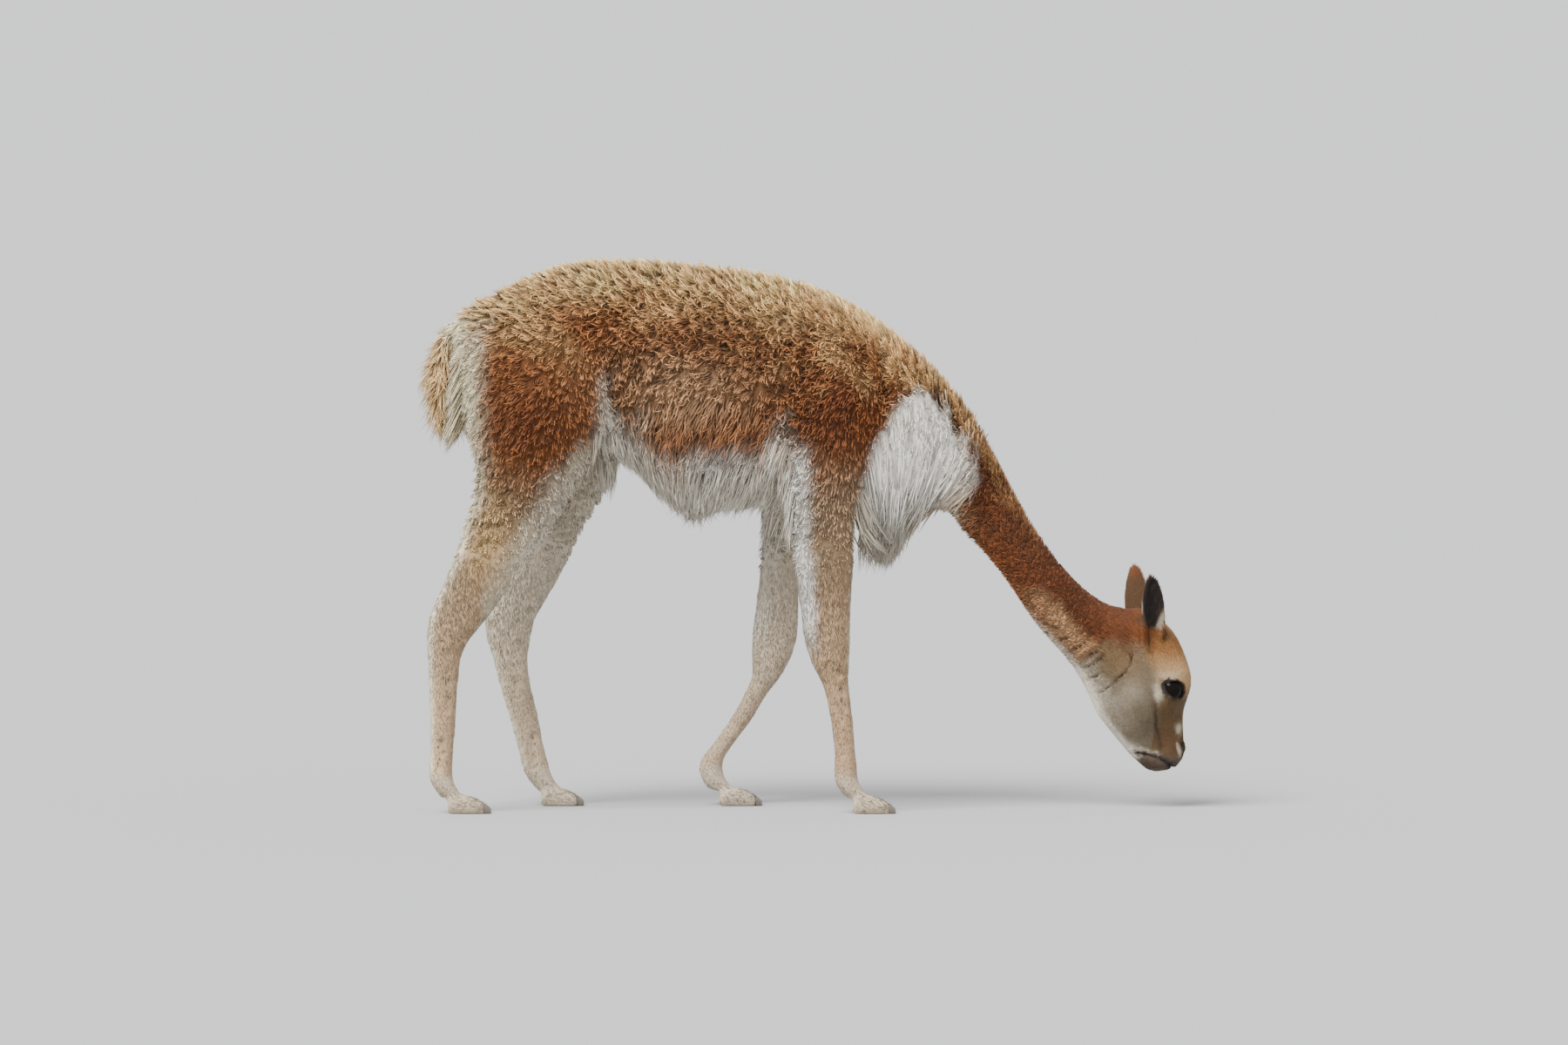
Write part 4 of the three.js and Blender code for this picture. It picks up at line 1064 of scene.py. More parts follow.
def markings(points, normals):
    """The colour of the coat at points of the straight body."""
    rough, fine = waves(points, 0.05, 1), waves(points, 0.012, 2)
    ragged = points + np.outer(waves(points * [1, 1, 0.3], 0.012, 4), [0.008, 0, 0.026])
    x, _, z = points.T
    colour = trunk_colour(points, normals, rough, fine)
    colour = leg_colour(colour, points, normals, fine)
    colour = blend(colour, BELLY_WHITE, inside(ragged, BELLY_EDGE, 0.014))
    under = step(-normals[:, 2], 0.3, 0.7) * step(x, 0.22, 0.12) * step(z, 0.3, 0.45) * (z < 0.62)
    colour = blend(colour, BELLY_WHITE, under)
    colour = blend(colour, WHITE, inside(ragged, BIB_EDGE, 0.010))
    colour = head_colour(colour, points, normals, rough, fine)
    colour = ear_colour(colour, points, normals)
    speckle = waves(points, 0.004, 3) * step(past_throat(points), 0.0, 0.03)
    shade = 1 + 0.12 * rough + 0.10 * fine + 0.22 * speckle
    return np.clip(colour * shade[:, None], 0, 1)


# %% [markdown]
# ## The skin's map and colour
#
# The skin is unwrapped on its own shape into small flat charts. Each tuft of the coat later takes its place
# on the same map. The markings go into a colour attribute that the materials read.


# %% Unwrap and colour the skin
def unwrap(made):
    bpy.ops.object.select_all(action="DESELECT")
    bpy.context.view_layer.objects.active = made
    made.select_set(True)
    made.data.uv_layers.new(name="OFBake")
    bpy.ops.object.mode_set(mode="EDIT")
    bpy.ops.mesh.select_all(action="SELECT")
    bpy.ops.uv.smart_project(angle_limit=math.radians(66), island_margin=0.002)
    bpy.ops.object.mode_set(mode="OBJECT")


def coat_depth(points):
    """How deep the coat is at points of the straight body, in metres."""
    x, _, z = points.T
    leg = np.interp(z, [0.2, 0.3, 0.4, 0.52, 0.6], [0.003, 0.004, 0.007, 0.012, 0.014])
    neck = np.interp(x, [0.25, 0.42, 0.5, 0.56, 0.6], [0.014, 0.010, 0.006, 0.004, 0.0025])
    return np.where(x < 0.25, leg, neck)


def paleness(colours):
    """1 for white and cream hair, 0 for brown."""
    return step(colours.min(axis=1), 0.25, 0.60)


def set_colour(mesh, colours):
    attribute = mesh.color_attributes.new("coat_colour", "FLOAT_COLOR", "POINT")
    with_alpha = np.hstack([colours, np.ones((len(colours), 1))])
    attribute.data.foreach_set("color", with_alpha.astype(np.float32).ravel())


unwrap(skin)
skin_colour = markings(straight, straight_normals)
# Painted shade: the skin under the fleece is darkened, less under pale hair, so gaps read as dark cracks.
fleece_crack_shade = step(coat_depth(straight), 0.004, 0.010) * (1 - 0.6 * paleness(skin_colour))
set_colour(skin.data, skin_colour * (0.85 - 0.5 * fleece_crack_shade)[:, None])
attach(skin, "root")
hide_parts(*FLESH)
print("skin coloured at", len(straight), "points")

# %% [markdown]
# ## Materials
#
# Hair is rough and a little velvety, which a sheen gives. The coat's material takes the markings from the
# colour attribute and varies them from hair to hair. The skin below has the same markings and a fine bump.


# %% Wire up a material
def set_sockets(node, values):
    """Sets constants on a node's own sockets."""
    for socket, value in values.items():
        node.inputs[socket].default_value = value


def add_node(tree, kind, values):
    node = tree.nodes.new(kind)
    set_sockets(node, values)
    return node


def wire(tree, links):
    """Links sockets, each given as its node, its name, the next node and the name there."""
    for source, output, target, socket in links:
        tree.links.new(source.outputs[output], target.inputs[socket])


def material(name, values):
    """A new material, its node tree and its shader, with constants set on the shader."""
    made = bpy.data.materials.new(name)
    made.use_nodes = True
    shader = made.node_tree.nodes["Principled BSDF"]
    set_sockets(shader, values)
    return made, made.node_tree, shader


def add_bump(tree, shader, scale, strength, distance, stretch=(1, 1, 1)):
    """Fine relief from a noise on the object's own coordinates."""
    place = add_node(tree, "ShaderNodeTexCoord", {})
    mapping = add_node(tree, "ShaderNodeMapping", {"Scale": stretch})
    grain = add_node(tree, "ShaderNodeTexNoise", {"Scale": scale, "Detail": 4})
    bump = add_node(tree, "ShaderNodeBump", {"Strength": strength, "Distance": distance})
    wire(tree, [(place, "Object", mapping, "Vector"), (mapping, "Vector", grain, "Vector"),
                (grain, "Fac", bump, "Height"), (bump, "Normal", shader, "Normal")])
    return grain


# %% Mix the hair
def coat_material(name, roughness, sheen, bump_scale, has_strands):
    """Hair that takes its colour from the markings, with fine darker and lighter hairs.

    Tufts carry an attribute that runs along their hairs. The skin has none, so its grain is even.
    """
    made, tree, shader = material(name, {
        "Roughness": roughness,
        "Sheen Weight": sheen,
        "Sheen Roughness": 0.4,
        "Specular IOR Level": 0.18,
    })
    grain = add_bump(tree, shader, bump_scale, 0.6, 0.001, stretch=(1, 1, 0.3))
    darkest, lightest = (0.55, 1.15) if has_strands else (0.8, 1.0)
    if has_strands:
        strand = add_node(tree, "ShaderNodeAttribute", {})
        strand.attribute_name = "strand"
        grain = add_node(tree, "ShaderNodeTexNoise", {"Scale": 1, "Detail": 2})
        wire(tree, [(strand, "Vector", grain, "Vector")])
    colour = add_node(tree, "ShaderNodeAttribute", {})
    colour.attribute_name = "coat_colour"
    tone = add_node(tree, "ShaderNodeMapRange",
                    {"From Min": 0.34, "From Max": 0.62, "To Min": darkest, "To Max": lightest})
    mix = add_node(tree, "ShaderNodeMix", {})
    mix.data_type = "RGBA"
    mix.blend_type = "MULTIPLY"
    set_sockets(mix, {"Factor": 1})
    wire(tree, [(grain, "Fac", tone, "Value"), (colour, "Color", mix, "A"), (tone, "Result", mix, "B"),
                (mix, "Result", shader, "Base Color")])
    return made


# %% Dress the skin and the floor
SKIN_HAIR = coat_material("short_hair", 0.85, 0.05, 900, has_strands=False)
COAT_HAIR = coat_material("coat_hair", 0.8, 0.08, 500, has_strands=True)
skin.data.materials.clear()
skin.data.materials.append(SKIN_HAIR)

floor_made, floor_tree, floor_shader = material("pale_floor", {
    "Roughness": 0.9,
    "Base Color": (FLOOR_TONE, FLOOR_TONE, FLOOR_TONE, 1),
    "Specular IOR Level": 0.0,
})
add_bump(floor_tree, floor_shader, 60, 0.05, 0.0005)
floor.data.materials.append(floor_made)
print("materials:", ", ".join(made.name for made in bpy.data.materials))

# %% [markdown]
# ## One tuft
#
# All hair is made of copies of one small shape: a cone of three sides. Longer hair has it cut across once or
# more, so that it can bend. Its length runs along Z from 0 to 1. Arrays of numbers then place, bend and
# taper each copy.


# %% Make the tuft that is copied
def tuft_template(cuts):
    """The points of a three-sided cone (how far along, across and out) and its triangles."""
    bm = bmesh.new()
    bmesh.ops.create_cone(bm, cap_ends=False, segments=3, radius1=1, radius2=0, depth=1,
                          matrix=Matrix.Translation((0, 0, 0.5)))
    bmesh.ops.remove_doubles(bm, verts=bm.verts, dist=WELD)
    for cut in cuts:
        geometry = bm.verts[:] + bm.edges[:] + bm.faces[:]
        bmesh.ops.bisect_plane(bm, geom=geometry, plane_co=(0, 0, cut), plane_no=(0, 0, 1))
    bmesh.ops.triangulate(bm, faces=bm.faces)
    co = np.array([v.co for v in bm.verts])
    faces = np.array([[v.index for v in f.verts] for f in bm.faces])
    bm.free()
    t = co[:, 2]
    ring = co[:, :2] / np.maximum(1 - t, 1e-6)[:, None]
    ring[t > 0.999] = 0
    return t, ring[:, 0], ring[:, 1], faces


SPIKE_TUFT = tuft_template([])
SHORT_TUFT = tuft_template([0.5])
WOOL_TUFT = tuft_template([0.68])
LONG_TUFT = tuft_template([0.25, 0.5, 0.75])
print("short tuft", len(SHORT_TUFT[3]), "triangles, long tuft", len(LONG_TUFT[3]))

# %% [markdown]
# ## Where the hair grows
#
# Roots are scattered over the skin by area, so many to a square metre. Each root takes its place, the skin's
# direction, its colour and its place on the map from the triangle that it falls in.


# %% Scatter the roots
def read_numbers(items, name, kind, wide):
    """A named value of every item of a mesh as an array, so many numbers to a row."""
    out = np.empty(len(items) * wide, kind)
    items.foreach_get(name, out)
    return out.reshape(-1, wide)


skin.data.calc_loop_triangles()
TRIANGLES = read_numbers(skin.data.loop_triangles, "vertices", int, 3)
LOOPS = read_numbers(skin.data.loop_triangles, "loops", int, 3)
MAP = read_numbers(skin.data.uv_layers["OFBake"].data, "uv", float, 2)
SKIN_POINTS = positions(skin.data)
SKIN_NORMALS = normals_of(skin.data)
print("skin", len(TRIANGLES), "triangles")


def scatter(weight, per_square_metre, seed):
    """Random roots where a weight that is known at each skin point is high."""
    rng = np.random.default_rng(seed)
    corners = SKIN_POINTS[TRIANGLES]
    area = np.linalg.norm(np.cross(corners[:, 1] - corners[:, 0], corners[:, 2] - corners[:, 0]), axis=1) / 2
    share = area * weight[TRIANGLES].mean(axis=1)
    count = int(share.sum() * per_square_metre * (1))
    picked = np.searchsorted(np.cumsum(share) / share.sum(), rng.random(count)).clip(0, len(area) - 1)
    a, b = rng.random(count), rng.random(count)
    flip = a + b > 1
    a[flip], b[flip] = 1 - a[flip], 1 - b[flip]
    shares = np.stack([1 - a - b, a, b], axis=1)[:, :, None]

    def at_roots(values, index):
        return (values[index[picked]] * shares).sum(axis=1)

    return {
        "place": at_roots(SKIN_POINTS, TRIANGLES),
        "straight": at_roots(straight, TRIANGLES),
        "normal": unit(at_roots(SKIN_NORMALS, TRIANGLES)),
        "colour": at_roots(skin_colour, TRIANGLES),
        "map": at_roots(MAP, LOOPS),
        "rng": rng,
    }


def varied(roots, spread):
    """Random factors around 1, one for each root."""
    return 1 + spread * roots["rng"].normal(size=len(roots["place"]))


# %% [markdown]
# ## The lie of the coat
#
# Hair points away from the nose: back over the face and neck, back and down over the trunk, and down the
# legs. A few strokes of a comb say so, and every root follows the strokes nearest to it.

# %% Comb the coat
# Place in the side view, and the direction in which the hair points there.
STROKES = [
    ((-0.60, 0.70), (-0.2, -1.0)), ((-0.54, 0.80), (-0.7, -0.7)), ((-0.40, 0.88), (-1.0, -0.1)),
    ((-0.20, 0.89), (-1.0, 0.0)), ((0.00, 0.85), (-1.0, 0.2)), ((0.12, 0.78), (-0.9, 0.45)),
    ((-0.45, 0.70), (-0.8, -0.6)), ((-0.20, 0.78), (-1.0, -0.35)), ((-0.17, 0.70), (-0.8, -0.7)),
    ((0.05, 0.72), (-0.7, -0.6)), ((-0.30, 0.68), (0.15, -1.0)), ((-0.27, 0.58), (0.2, -1.0)),
    ((-0.22, 0.64), (-0.35, -1.0)), ((-0.12, 0.60), (-0.45, -1.0)), ((-0.04, 0.60), (-0.5, -1.0)),
    ((-0.18, 0.52), (-0.1, -1.0)), ((-0.08, 0.54), (-0.3, -1.0)), ((-0.36, 0.60), (0.3, -1.0)),
    ((-0.45, 0.58), (-0.5, -0.9)), ((-0.40, 0.50), (0.2, -1.0)), ((0.04, 0.58), (-0.2, -1.0)),
    ((0.10, 0.55), (-0.1, -1.0)), ((0.16, 0.60), (-0.1, -1.0)), ((0.20, 0.55), (-0.45, -0.9)),
    ((0.24, 0.50), (-0.8, -0.5)), ((0.20, 0.68), (-0.7, 0.2)), ((0.28, 0.60), (-0.5, 0.8)),
    ((0.33, 0.44), (-0.55, 0.75)), ((0.42, 0.32), (-0.75, 0.6)), ((0.50, 0.28), (-0.85, 0.45)),
    ((0.58, 0.29), (-0.8, 0.6)), ((0.50, 0.14), (-0.6, 0.8)), ((0.54, 0.20), (-0.6, 0.8)),
    ((0.61, 0.20), (-0.1, 1.0)), ((0.60, 0.10), (0.0, 1.0)), ((0.54, 0.08), (-0.4, 0.9)),
    ((0.46, 0.20), (-0.7, 0.7)), ((-0.55, 0.35), (0.0, -1.0)), ((-0.58, 0.15), (0.0, -1.0)),
    ((-0.45, 0.35), (0.0, -1.0)), ((-0.45, 0.10), (0.0, -1.0)), ((0.03, 0.35), (0.0, -1.0)),
    ((-0.08, 0.25), (0.0, -1.0)), ((0.05, 0.12), (0.0, -1.0)), ((-0.12, 0.10), (-0.2, -1.0)),
]
STROKE_REACH = 0.03
TOE_LIE = [0.9, 0, -0.35]


def along_skin(direction, normal):
    """A direction laid flat on the skin, with a length of one."""
    return unit(direction - normal * (direction * normal).sum(axis=1, keepdims=True) + 1e-6)


def lie_of(roots):
    """The direction of the hair at each root, along the skin. On the toes it points forwards."""
    flat = roots["straight"][:, [0, 2]]
    pull = np.zeros((len(flat), 3))
    for place, (x, z) in STROKES:
        weight = 1 / (((flat - place) ** 2).sum(axis=1) + STROKE_REACH**2) ** 1.5
        pull += weight[:, None] * np.array([x, 0, z]) / math.hypot(x, z)
    toe = step(flat[:, [1]], 0.055, 0.030)
    return along_skin(unit(pull) * (1 - toe) + toe * TOE_LIE, roots["normal"])


print(len(STROKES), "strokes of the comb")

# %% [markdown]
# ## From roots to tufts
#
# A tuft leaves the skin along a curved path, and the cone's points are set round that path. Its base is
# darker than its tip, as hair is where little light reaches. Every tuft takes a patch of the skin's map at
# its root, and pieces are cut so that none grows too large for a mesh file.

# %% Bend and taper the tufts
PATCH = 0.003
MOST_TRIANGLES = 190000
ROOT_SINK = 0.0015
coat_triangles = 0


def tuft_path(roots, lie, length, stand, droop, curl, fall, aim, aim_pull):
    """The middle line of every tuft, as a function of how far along it a place lies."""
    place, normal = roots["place"], roots["normal"]
    count = len(place)
    side = np.cross(lie, normal)
    swing = (curl * roots["rng"].normal(size=count))[:, None]
    length = np.broadcast_to(length, count)[:, None]
    stand = np.broadcast_to(stand, count)[:, None]
    tip_pull = np.zeros((count, 3))
    if aim is not None:
        tip_pull = (aim - (place + length * lie)) * aim_pull

    def path(u):
        bent = lie * u + normal * (stand * u - droop * stand * 2 * u * u) + side * (swing * u * u)
        return place + length * bent + tip_pull * u * u - np.array([0, 0, 1.0]) * (fall * length) * u * u

    return path


def tuft_points(roots, template, path, width, thick, blunt):
    """The cone's points round the path of every tuft."""
    t, across, out, _ = template
    normal = roots["normal"]
    points = np.empty((len(normal), len(t), 3))
    for u in np.unique(t):
        along = unit(path(u + 0.02) - path(u - 0.02))
        wide = unit(np.cross(along, normal))
        up = np.cross(wide, along)
        taper = (1 - blunt) * (0.75 + 0.9 * u - 1.65 * u * u) + blunt * (1 - u**5)
        half = (np.broadcast_to(width, len(normal)) / 2 * taper)[:, None]
        middle = path(u) - normal * ROOT_SINK * (u < 0.01)
        for k in np.flatnonzero(t == u):
            points[:, k] = middle + wide * half * across[k] + up * half * out[k] * thick
    points[:, :, 2] = np.maximum(points[:, :, 2], TUFT_FLOOR)
    return points


# %% Colour the tufts
def tuft_colours(roots, template, shade, dark_root):
    """Colours that lighten from root to tip, and differ from tuft to tuft and across each one."""
    t, across, _, _ = template
    tone = (np.broadcast_to(shade, len(roots["place"])) * varied(roots, 0.08))[:, None, None]
    slant = roots["rng"].normal(size=tone.shape)
    tone = tone * (1 + 0.16 * slant * across[None, :, None])
    root_tone = (dark_root + 0.7 * (0.95 - dark_root) * paleness(roots["colour"]))[:, None, None]
    from_root = root_tone + (1.1 - root_tone) * np.sqrt(t)[None, :, None]
    return np.clip(roots["colour"][:, None, :] * from_root * tone, 0, 1)


def strand_places(roots, template):
    """Where each point reads the noise of single hairs: another part of it for every tuft."""
    t, across, out, _ = template
    starts = roots["rng"].random((len(roots["place"]), 1, 3)) * 50
    return starts + np.stack([across * 5.0, t * 1.3, out * 5.0], axis=1)[None]


# %% Grow tufts from roots
def add_mesh(name, points, faces, maps, colours, strands):
    """One coat piece from arrays, with its map, its colours and the run of its hairs."""
    made = bpy.data.meshes.new(name)
    made.vertices.add(len(points))
    made.vertices.foreach_set("co", points.astype(np.float32).ravel())
    made.loops.add(faces.size)
    made.loops.foreach_set("vertex_index", faces.astype(np.int32).ravel())
    made.polygons.add(len(faces))
    made.polygons.foreach_set("loop_start", np.arange(0, faces.size, 3, dtype=np.int32))
    made.polygons.foreach_set("use_smooth", np.ones(len(faces), bool))
    made.update(calc_edges=True)
    layer = made.uv_layers.new(name="OFBake")
    layer.data.foreach_set("uv", maps[faces].astype(np.float32).ravel())
    set_colour(made, colours)
    along_hairs = made.attributes.new("strand", "FLOAT_VECTOR", "POINT")
    along_hairs.data.foreach_set("vector", strands.astype(np.float32).ravel())
    piece = bpy.data.objects.new(name, made)
    bpy.context.collection.objects.link(piece)
    made.materials.append(COAT_HAIR)
    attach(piece, "root")


def grow(name, roots, template, lie, length, width, stand, droop=0.3, curl=0.0, fall=0.0, thick=0.35,
         dark_root=0.6, aim=None, aim_pull=0.0, shade=1.0, blunt=0.0, stripes=1.0):
    """Grows one tuft at each root. Lengths and widths are in metres, one for each root or one for all.

    stand is how steeply a tuft leaves the skin, droop how far its tip comes back, curl how far it swings
    sideways, fall how far its weight pulls it down, thick how thick it is for its width, dark_root how light
    its base is, aim a point that its tip is drawn to by aim_pull, shade how light each tuft is, blunt how
    round its end is, and stripes whether single hairs show in it.
    """
    global coat_triangles
    t, across, _, faces = template
    path = tuft_path(roots, lie, length, stand, droop, curl, fall, aim, aim_pull)
    points = tuft_points(roots, template, path, width, thick, blunt)
    colours = tuft_colours(roots, template, shade, dark_root)
    maps = roots["map"][:, None, :] + (np.stack([across * 0.5, t - 0.5], axis=1) * PATCH)[None]
    strands = strand_places(roots, template) * stripes
    count = len(points)
    per_piece = MOST_TRIANGLES // len(faces)
    for i, start in enumerate(range(0, count, per_piece)):
        part = slice(start, start + per_piece)
        first_points = np.arange(len(points[part])) * len(t)
        all_faces = (faces[None] + first_points[:, None, None]).reshape(-1, 3)
        add_mesh(f"{name}_{i + 1}", points[part].reshape(-1, 3), all_faces, maps[part].reshape(-1, 2),
                 colours[part].reshape(-1, 3), strands[part].reshape(-1, 3))
    coat_triangles += count * len(faces)
    print(name, count, "tufts,", count * len(faces), "triangles")


# %% [markdown]
# ## Zones
#
# The trunk, thighs, shoulders and neck carry fleece. Below it the legs are short-haired, as the face is.
# Long hair grows on the chest, the flanks, the belly and the tail. A zone gives each point of the skin a
# weight from 0 to 1.

# %% Mark the zones
X, _, Z = straight.T
TRUNK_BOTTOM = np.interp(X, SPINE.back[:, 0], SPINE.back[:, 2])
ON_TRUNK = (Z > TRUNK_BOTTOM - 0.012).astype(float)
EAR_ZONE = ear_places(mirrored(straight))[2].astype(float) * (Z > 0.28)
HEAD_ZONE = step(past_throat(straight), -0.01, 0.03) * (X > 0.36) * (1 - EAR_ZONE)
LEG_ZONE = step(Z, 0.44, 0.36) * (X < 0.26)
TAIL_ZONE = ((X < -0.555) & (Z > 0.60)).astype(float)
BIB_ZONE = inside(straight, BIB_EDGE, 0.006) * (Z > 0.44)
UNDER_ZONE = step(-straight_normals[:, 2], 0.4, 0.8) * (X > -0.32) * (X < 0.06) * (Z < 0.6) * (Z > 0.42)
BELLY_ZONE = np.maximum(inside(straight, BELLY_EDGE, 0.012) * (Z < 0.62), UNDER_ZONE)
BELLY_ZONE = BELLY_ZONE * (1 - LEG_ZONE) * ON_TRUNK
FLANK_ZONE = step(spot(straight, -0.17, 0.600, 0.15, 0.075), 0.25, 0.6)
FLANK_ZONE = FLANK_ZONE * (1 - BELLY_ZONE) * (X > -0.34) * (X < 0.0)
FLEECE_ZONE = np.clip(1 - HEAD_ZONE - LEG_ZONE - TAIL_ZONE - EAR_ZONE - FLANK_ZONE, 0, 1)
FLEECE_ZONE = FLEECE_ZONE * (1 - 0.85 * BIB_ZONE) * (1 - 0.7 * BELLY_ZONE)
SHOULDER_SHARE = step(X, -0.03, 0.03) * step(X, 0.30, 0.24)
NECK_SHARE = step(X, 0.24, 0.30)
BACK_SHARE = 1 - SHOULDER_SHARE - NECK_SHARE
print("fleece on", int((FLEECE_ZONE > 0.5).sum()), "of", len(X), "points of the skin")

# %% [markdown]
# ## Fleece
#
# A vicuna's fleece is the finest of all, and it crinkles into small clumps with dark cracks between them.
# Roots are gathered round random middles. Tips lean towards the middle of their clump, and tufts at its edge
# are shorter and lie in shade. On the back the clumps are long from front to back, and on the shoulder they
# stand upright.


# %% Gather roots into clumps
def gather(roots, middles, stretch):
    """The clump that each root belongs to, and how near that clump's edge it grows (1 is the edge)."""
    tree = KDTree(len(middles["straight"]))
    for i, place in enumerate(middles["straight"] * stretch):
        tree.insert(place, i)
    tree.balance()
    count = len(roots["straight"])
    nearest = np.empty(count, int)
    ratio = np.empty(count)
    for i, place in enumerate(roots["straight"] * stretch):
        (_, first, d1), (_, _, d2) = tree.find_n(place, 2)
        nearest[i] = first
        ratio[i] = d1 / max(d2, 1e-6)
    return nearest, step(ratio, 0.5, 0.95)


def gathered(roots, zone, per_square_metre, seed, stretch):
    """The middles of the clumps of a zone, the clump that each root belongs to, and how near that clump's
    edge it grows (1 is the edge). Clumps are longer along an axis where stretch is below 1."""
    middles = scatter(zone, per_square_metre, seed)
    return middles, *gather(roots, middles, stretch)


def clump_aim(middles, nearest, length, up, along):
    """Where the tips of a clump draw together: over its middle, so far out of the skin and along the hair."""
    way = middles["normal"] * up + lie_of(middles) * along
    return middles["place"][nearest] + way[nearest] * np.broadcast_to(length, len(nearest))[:, None]


def calmness(points):
    """How smooth the fleece lies: most on the thighs, gaskins, shoulders and arms, less on the sides."""
    x, _, z = points.T
    thigh = step(x, -0.27, -0.36) * step(z, 0.82, 0.70)
    arm = 1.3 * spot(points, 0.06, 0.54, 0.11, 0.17)
    side = 0.8 * spot(points, -0.17, 0.665, 0.19, 0.075)
    return np.clip(np.maximum(np.maximum(thigh, arm), side), 0, 1)


# %% Grow the fleece
def crinkled(name, zone, stretch, seed, clumps, layers, longer=1.6, pull=0.5, dark=0.8, stand=0.7,
             root_tone=0.3, gap=0.3):
    """Fleece of several layers that are gathered into the same clumps.

    longer is how long the fleece is for the coat's depth, pull how far tips draw together, dark how much
    painted shade darkens it between clumps, and gap how much shorter it is there.
    """
    middles = scatter(zone, clumps, seed)
    clump_tone = varied(middles, 0.20)
    for i, (template, per_square_metre, width) in enumerate(layers):
        roots = scatter(zone, per_square_metre, seed + 30 + i)
        places = roots["straight"]
        nearest, edge = gather(roots, middles, stretch)
        crease = np.clip(creases(places, COAT_CREASES + FACE_CREASES, 0.0045), 0, 1)
        edge = np.maximum(edge * (1 - 0.5 * paleness(roots["colour"])), crease)
        calm = calmness(places)
        short = (1 - 0.2 * calm) * (1 - 0.4 * step(places[:, 2], 0.48, 0.37))
        length = coat_depth(places) * longer * (1 - gap * edge) * (short * varied(roots, 0.12))
        # Tufts at a clump's edge and in a crease get painted shade.
        shade = clump_tone[nearest] ** (1 - 0.5 * calm) * (1 - dark * edge * (1 - 0.4 * calm))
        shade = shade * (1 - 0.5 * crease)
        grow(f"{name}_{i + 1}", roots, template, lie_of(roots), length, width * (1 - 0.12 * calm),
             stand * (1 - 0.35 * calm), curl=0.45 - 0.2 * calm, dark_root=root_tone + 0.22 * calm,
             aim=clump_aim(middles, nearest, length, 0.5, 0.6), aim_pull=pull, shade=shade, blunt=0.7)


# Shape of the tuft, how many to a square metre, and how wide each is.
BODY_LAYERS = [(WOOL_TUFT, 53000, 0.0034), (SPIKE_TUFT, 100000, 0.0020)]
NECK_LAYERS = [(WOOL_TUFT, 115000, 0.0020), (SPIKE_TUFT, 230000, 0.0013)]
crinkled("back", FLEECE_ZONE * BACK_SHARE, (0.5, 1, 1.1), 1, 7500, BODY_LAYERS, pull=0.75, dark=0.85, gap=0.5)
crinkled("shoulder", FLEECE_ZONE * SHOULDER_SHARE, (1.2, 1, 0.65), 2, 11000, BODY_LAYERS, dark=0.65,
         root_tone=0.4)
crinkled("neck", FLEECE_ZONE * NECK_SHARE, (0.9, 1, 0.9), 3, 26000, NECK_LAYERS, longer=1.15, dark=0.45,
         stand=0.38, root_tone=0.60)

# %% [markdown]
# ## Long hair
#
# Hair on the chest is the longest of all, more than 10 cm. Its strands run down and draw together at one
# hanging tip. The flank has smooth tan strands and the belly shorter white locks, and the tail is a fluffy
# tassel. All of it is longer tufts, gathered into clumps as the fleece is, with painted shade at the edge of
# each clump.

# %% Grow the strands of the flank
roots = scatter(FLANK_ZONE, 52000, 4)
middles, nearest, edge = gathered(roots, FLANK_ZONE, 6500, 14, (1.2, 1, 0.45))
length = 0.030 * varied(roots, 0.15)
grow("flank_hair", roots, LONG_TUFT, lie_of(roots), length, 0.0042, 0.42, curl=0.2, dark_root=0.55,
     aim=clump_aim(middles, nearest, length, 0.35, 0.95), aim_pull=0.5,
     shade=varied(middles, 0.18)[nearest] * (1 - 0.6 * edge))

# %% Comb the bib towards its hanging tip
BIB_TIP = np.array([0.119, 0.0, 0.385])
# The lowest that a strand may reach, as places of the side view.
BIB_OUTLINE = [(0.100, 0.370), (0.120, 0.382), (0.157, 0.435), (0.168, 0.460), (0.186, 0.488), (0.212, 0.478),
               (0.250, 0.432)]
SHORTENINGS = 12

roots = scatter(BIB_ZONE, 120000, 5)
rng = roots["rng"]
middles, nearest, edge = gathered(roots, BIB_ZONE, 13000, 15, (1.3, 1, 0.5))
spread = middles["rng"].normal(size=(len(middles["place"]), 3)) * [0.016, 0.010, 0.008] + [0, 0, 0.012]
to_tip = BIB_TIP + spread[nearest] - roots["place"]
distance = np.linalg.norm(to_tip, axis=1)
x, _, z = roots["straight"].T
length = np.interp(x, [0.12, 0.19, 0.26], [0.115, 0.095, 0.060]) + 0.015 * rng.normal(size=len(x))
length = np.minimum(distance * 0.97, length)
length = np.where((z < 0.53) & (x < 0.185), distance * (0.80 + 0.2 * rng.random(len(x))), length)
for _ in range(SHORTENINGS):
    end = roots["place"] + unit(to_tip) * length[:, None]
    hangs_out = end[:, 2] < np.interp(end[:, 0], *np.array(BIB_OUTLINE).T) + 0.004 * rng.random(len(x))
    length = np.where(hangs_out, np.maximum(length * 0.85, 0.008), length)
print("bib strands", round(length.min(), 3), "to", round(length.max(), 3), "m long")

# %% Grow the bib
roots["colour"] = blend(roots["colour"], WHITE, 0.85 * step(x, 0.262, 0.205))
roots["colour"] = blend(roots["colour"], CREAM, 0.8 * step(z, 0.58, 0.50))
roots["colour"] = blend(roots["colour"], LEG_TAN, 0.6 * step(x, 0.190, 0.245) * step(z, 0.580, 0.510))
aim = roots["place"] + unit(to_tip) * length[:, None] + roots["normal"] * [[0.004, 0.012, 0.004]]
downward = unit(unit(to_tip) + step(x, 0.215, 0.165)[:, None] * [0, 0, -0.9])
grow("bib_hair", roots, LONG_TUFT, along_skin(downward, roots["normal"]), length, 0.0048, 0.15, droop=0.4,
     curl=0.05, thick=0.4, dark_root=0.75, aim=aim, aim_pull=1.0,
     shade=varied(middles, 0.08)[nearest] * (1 - 0.45 * edge))

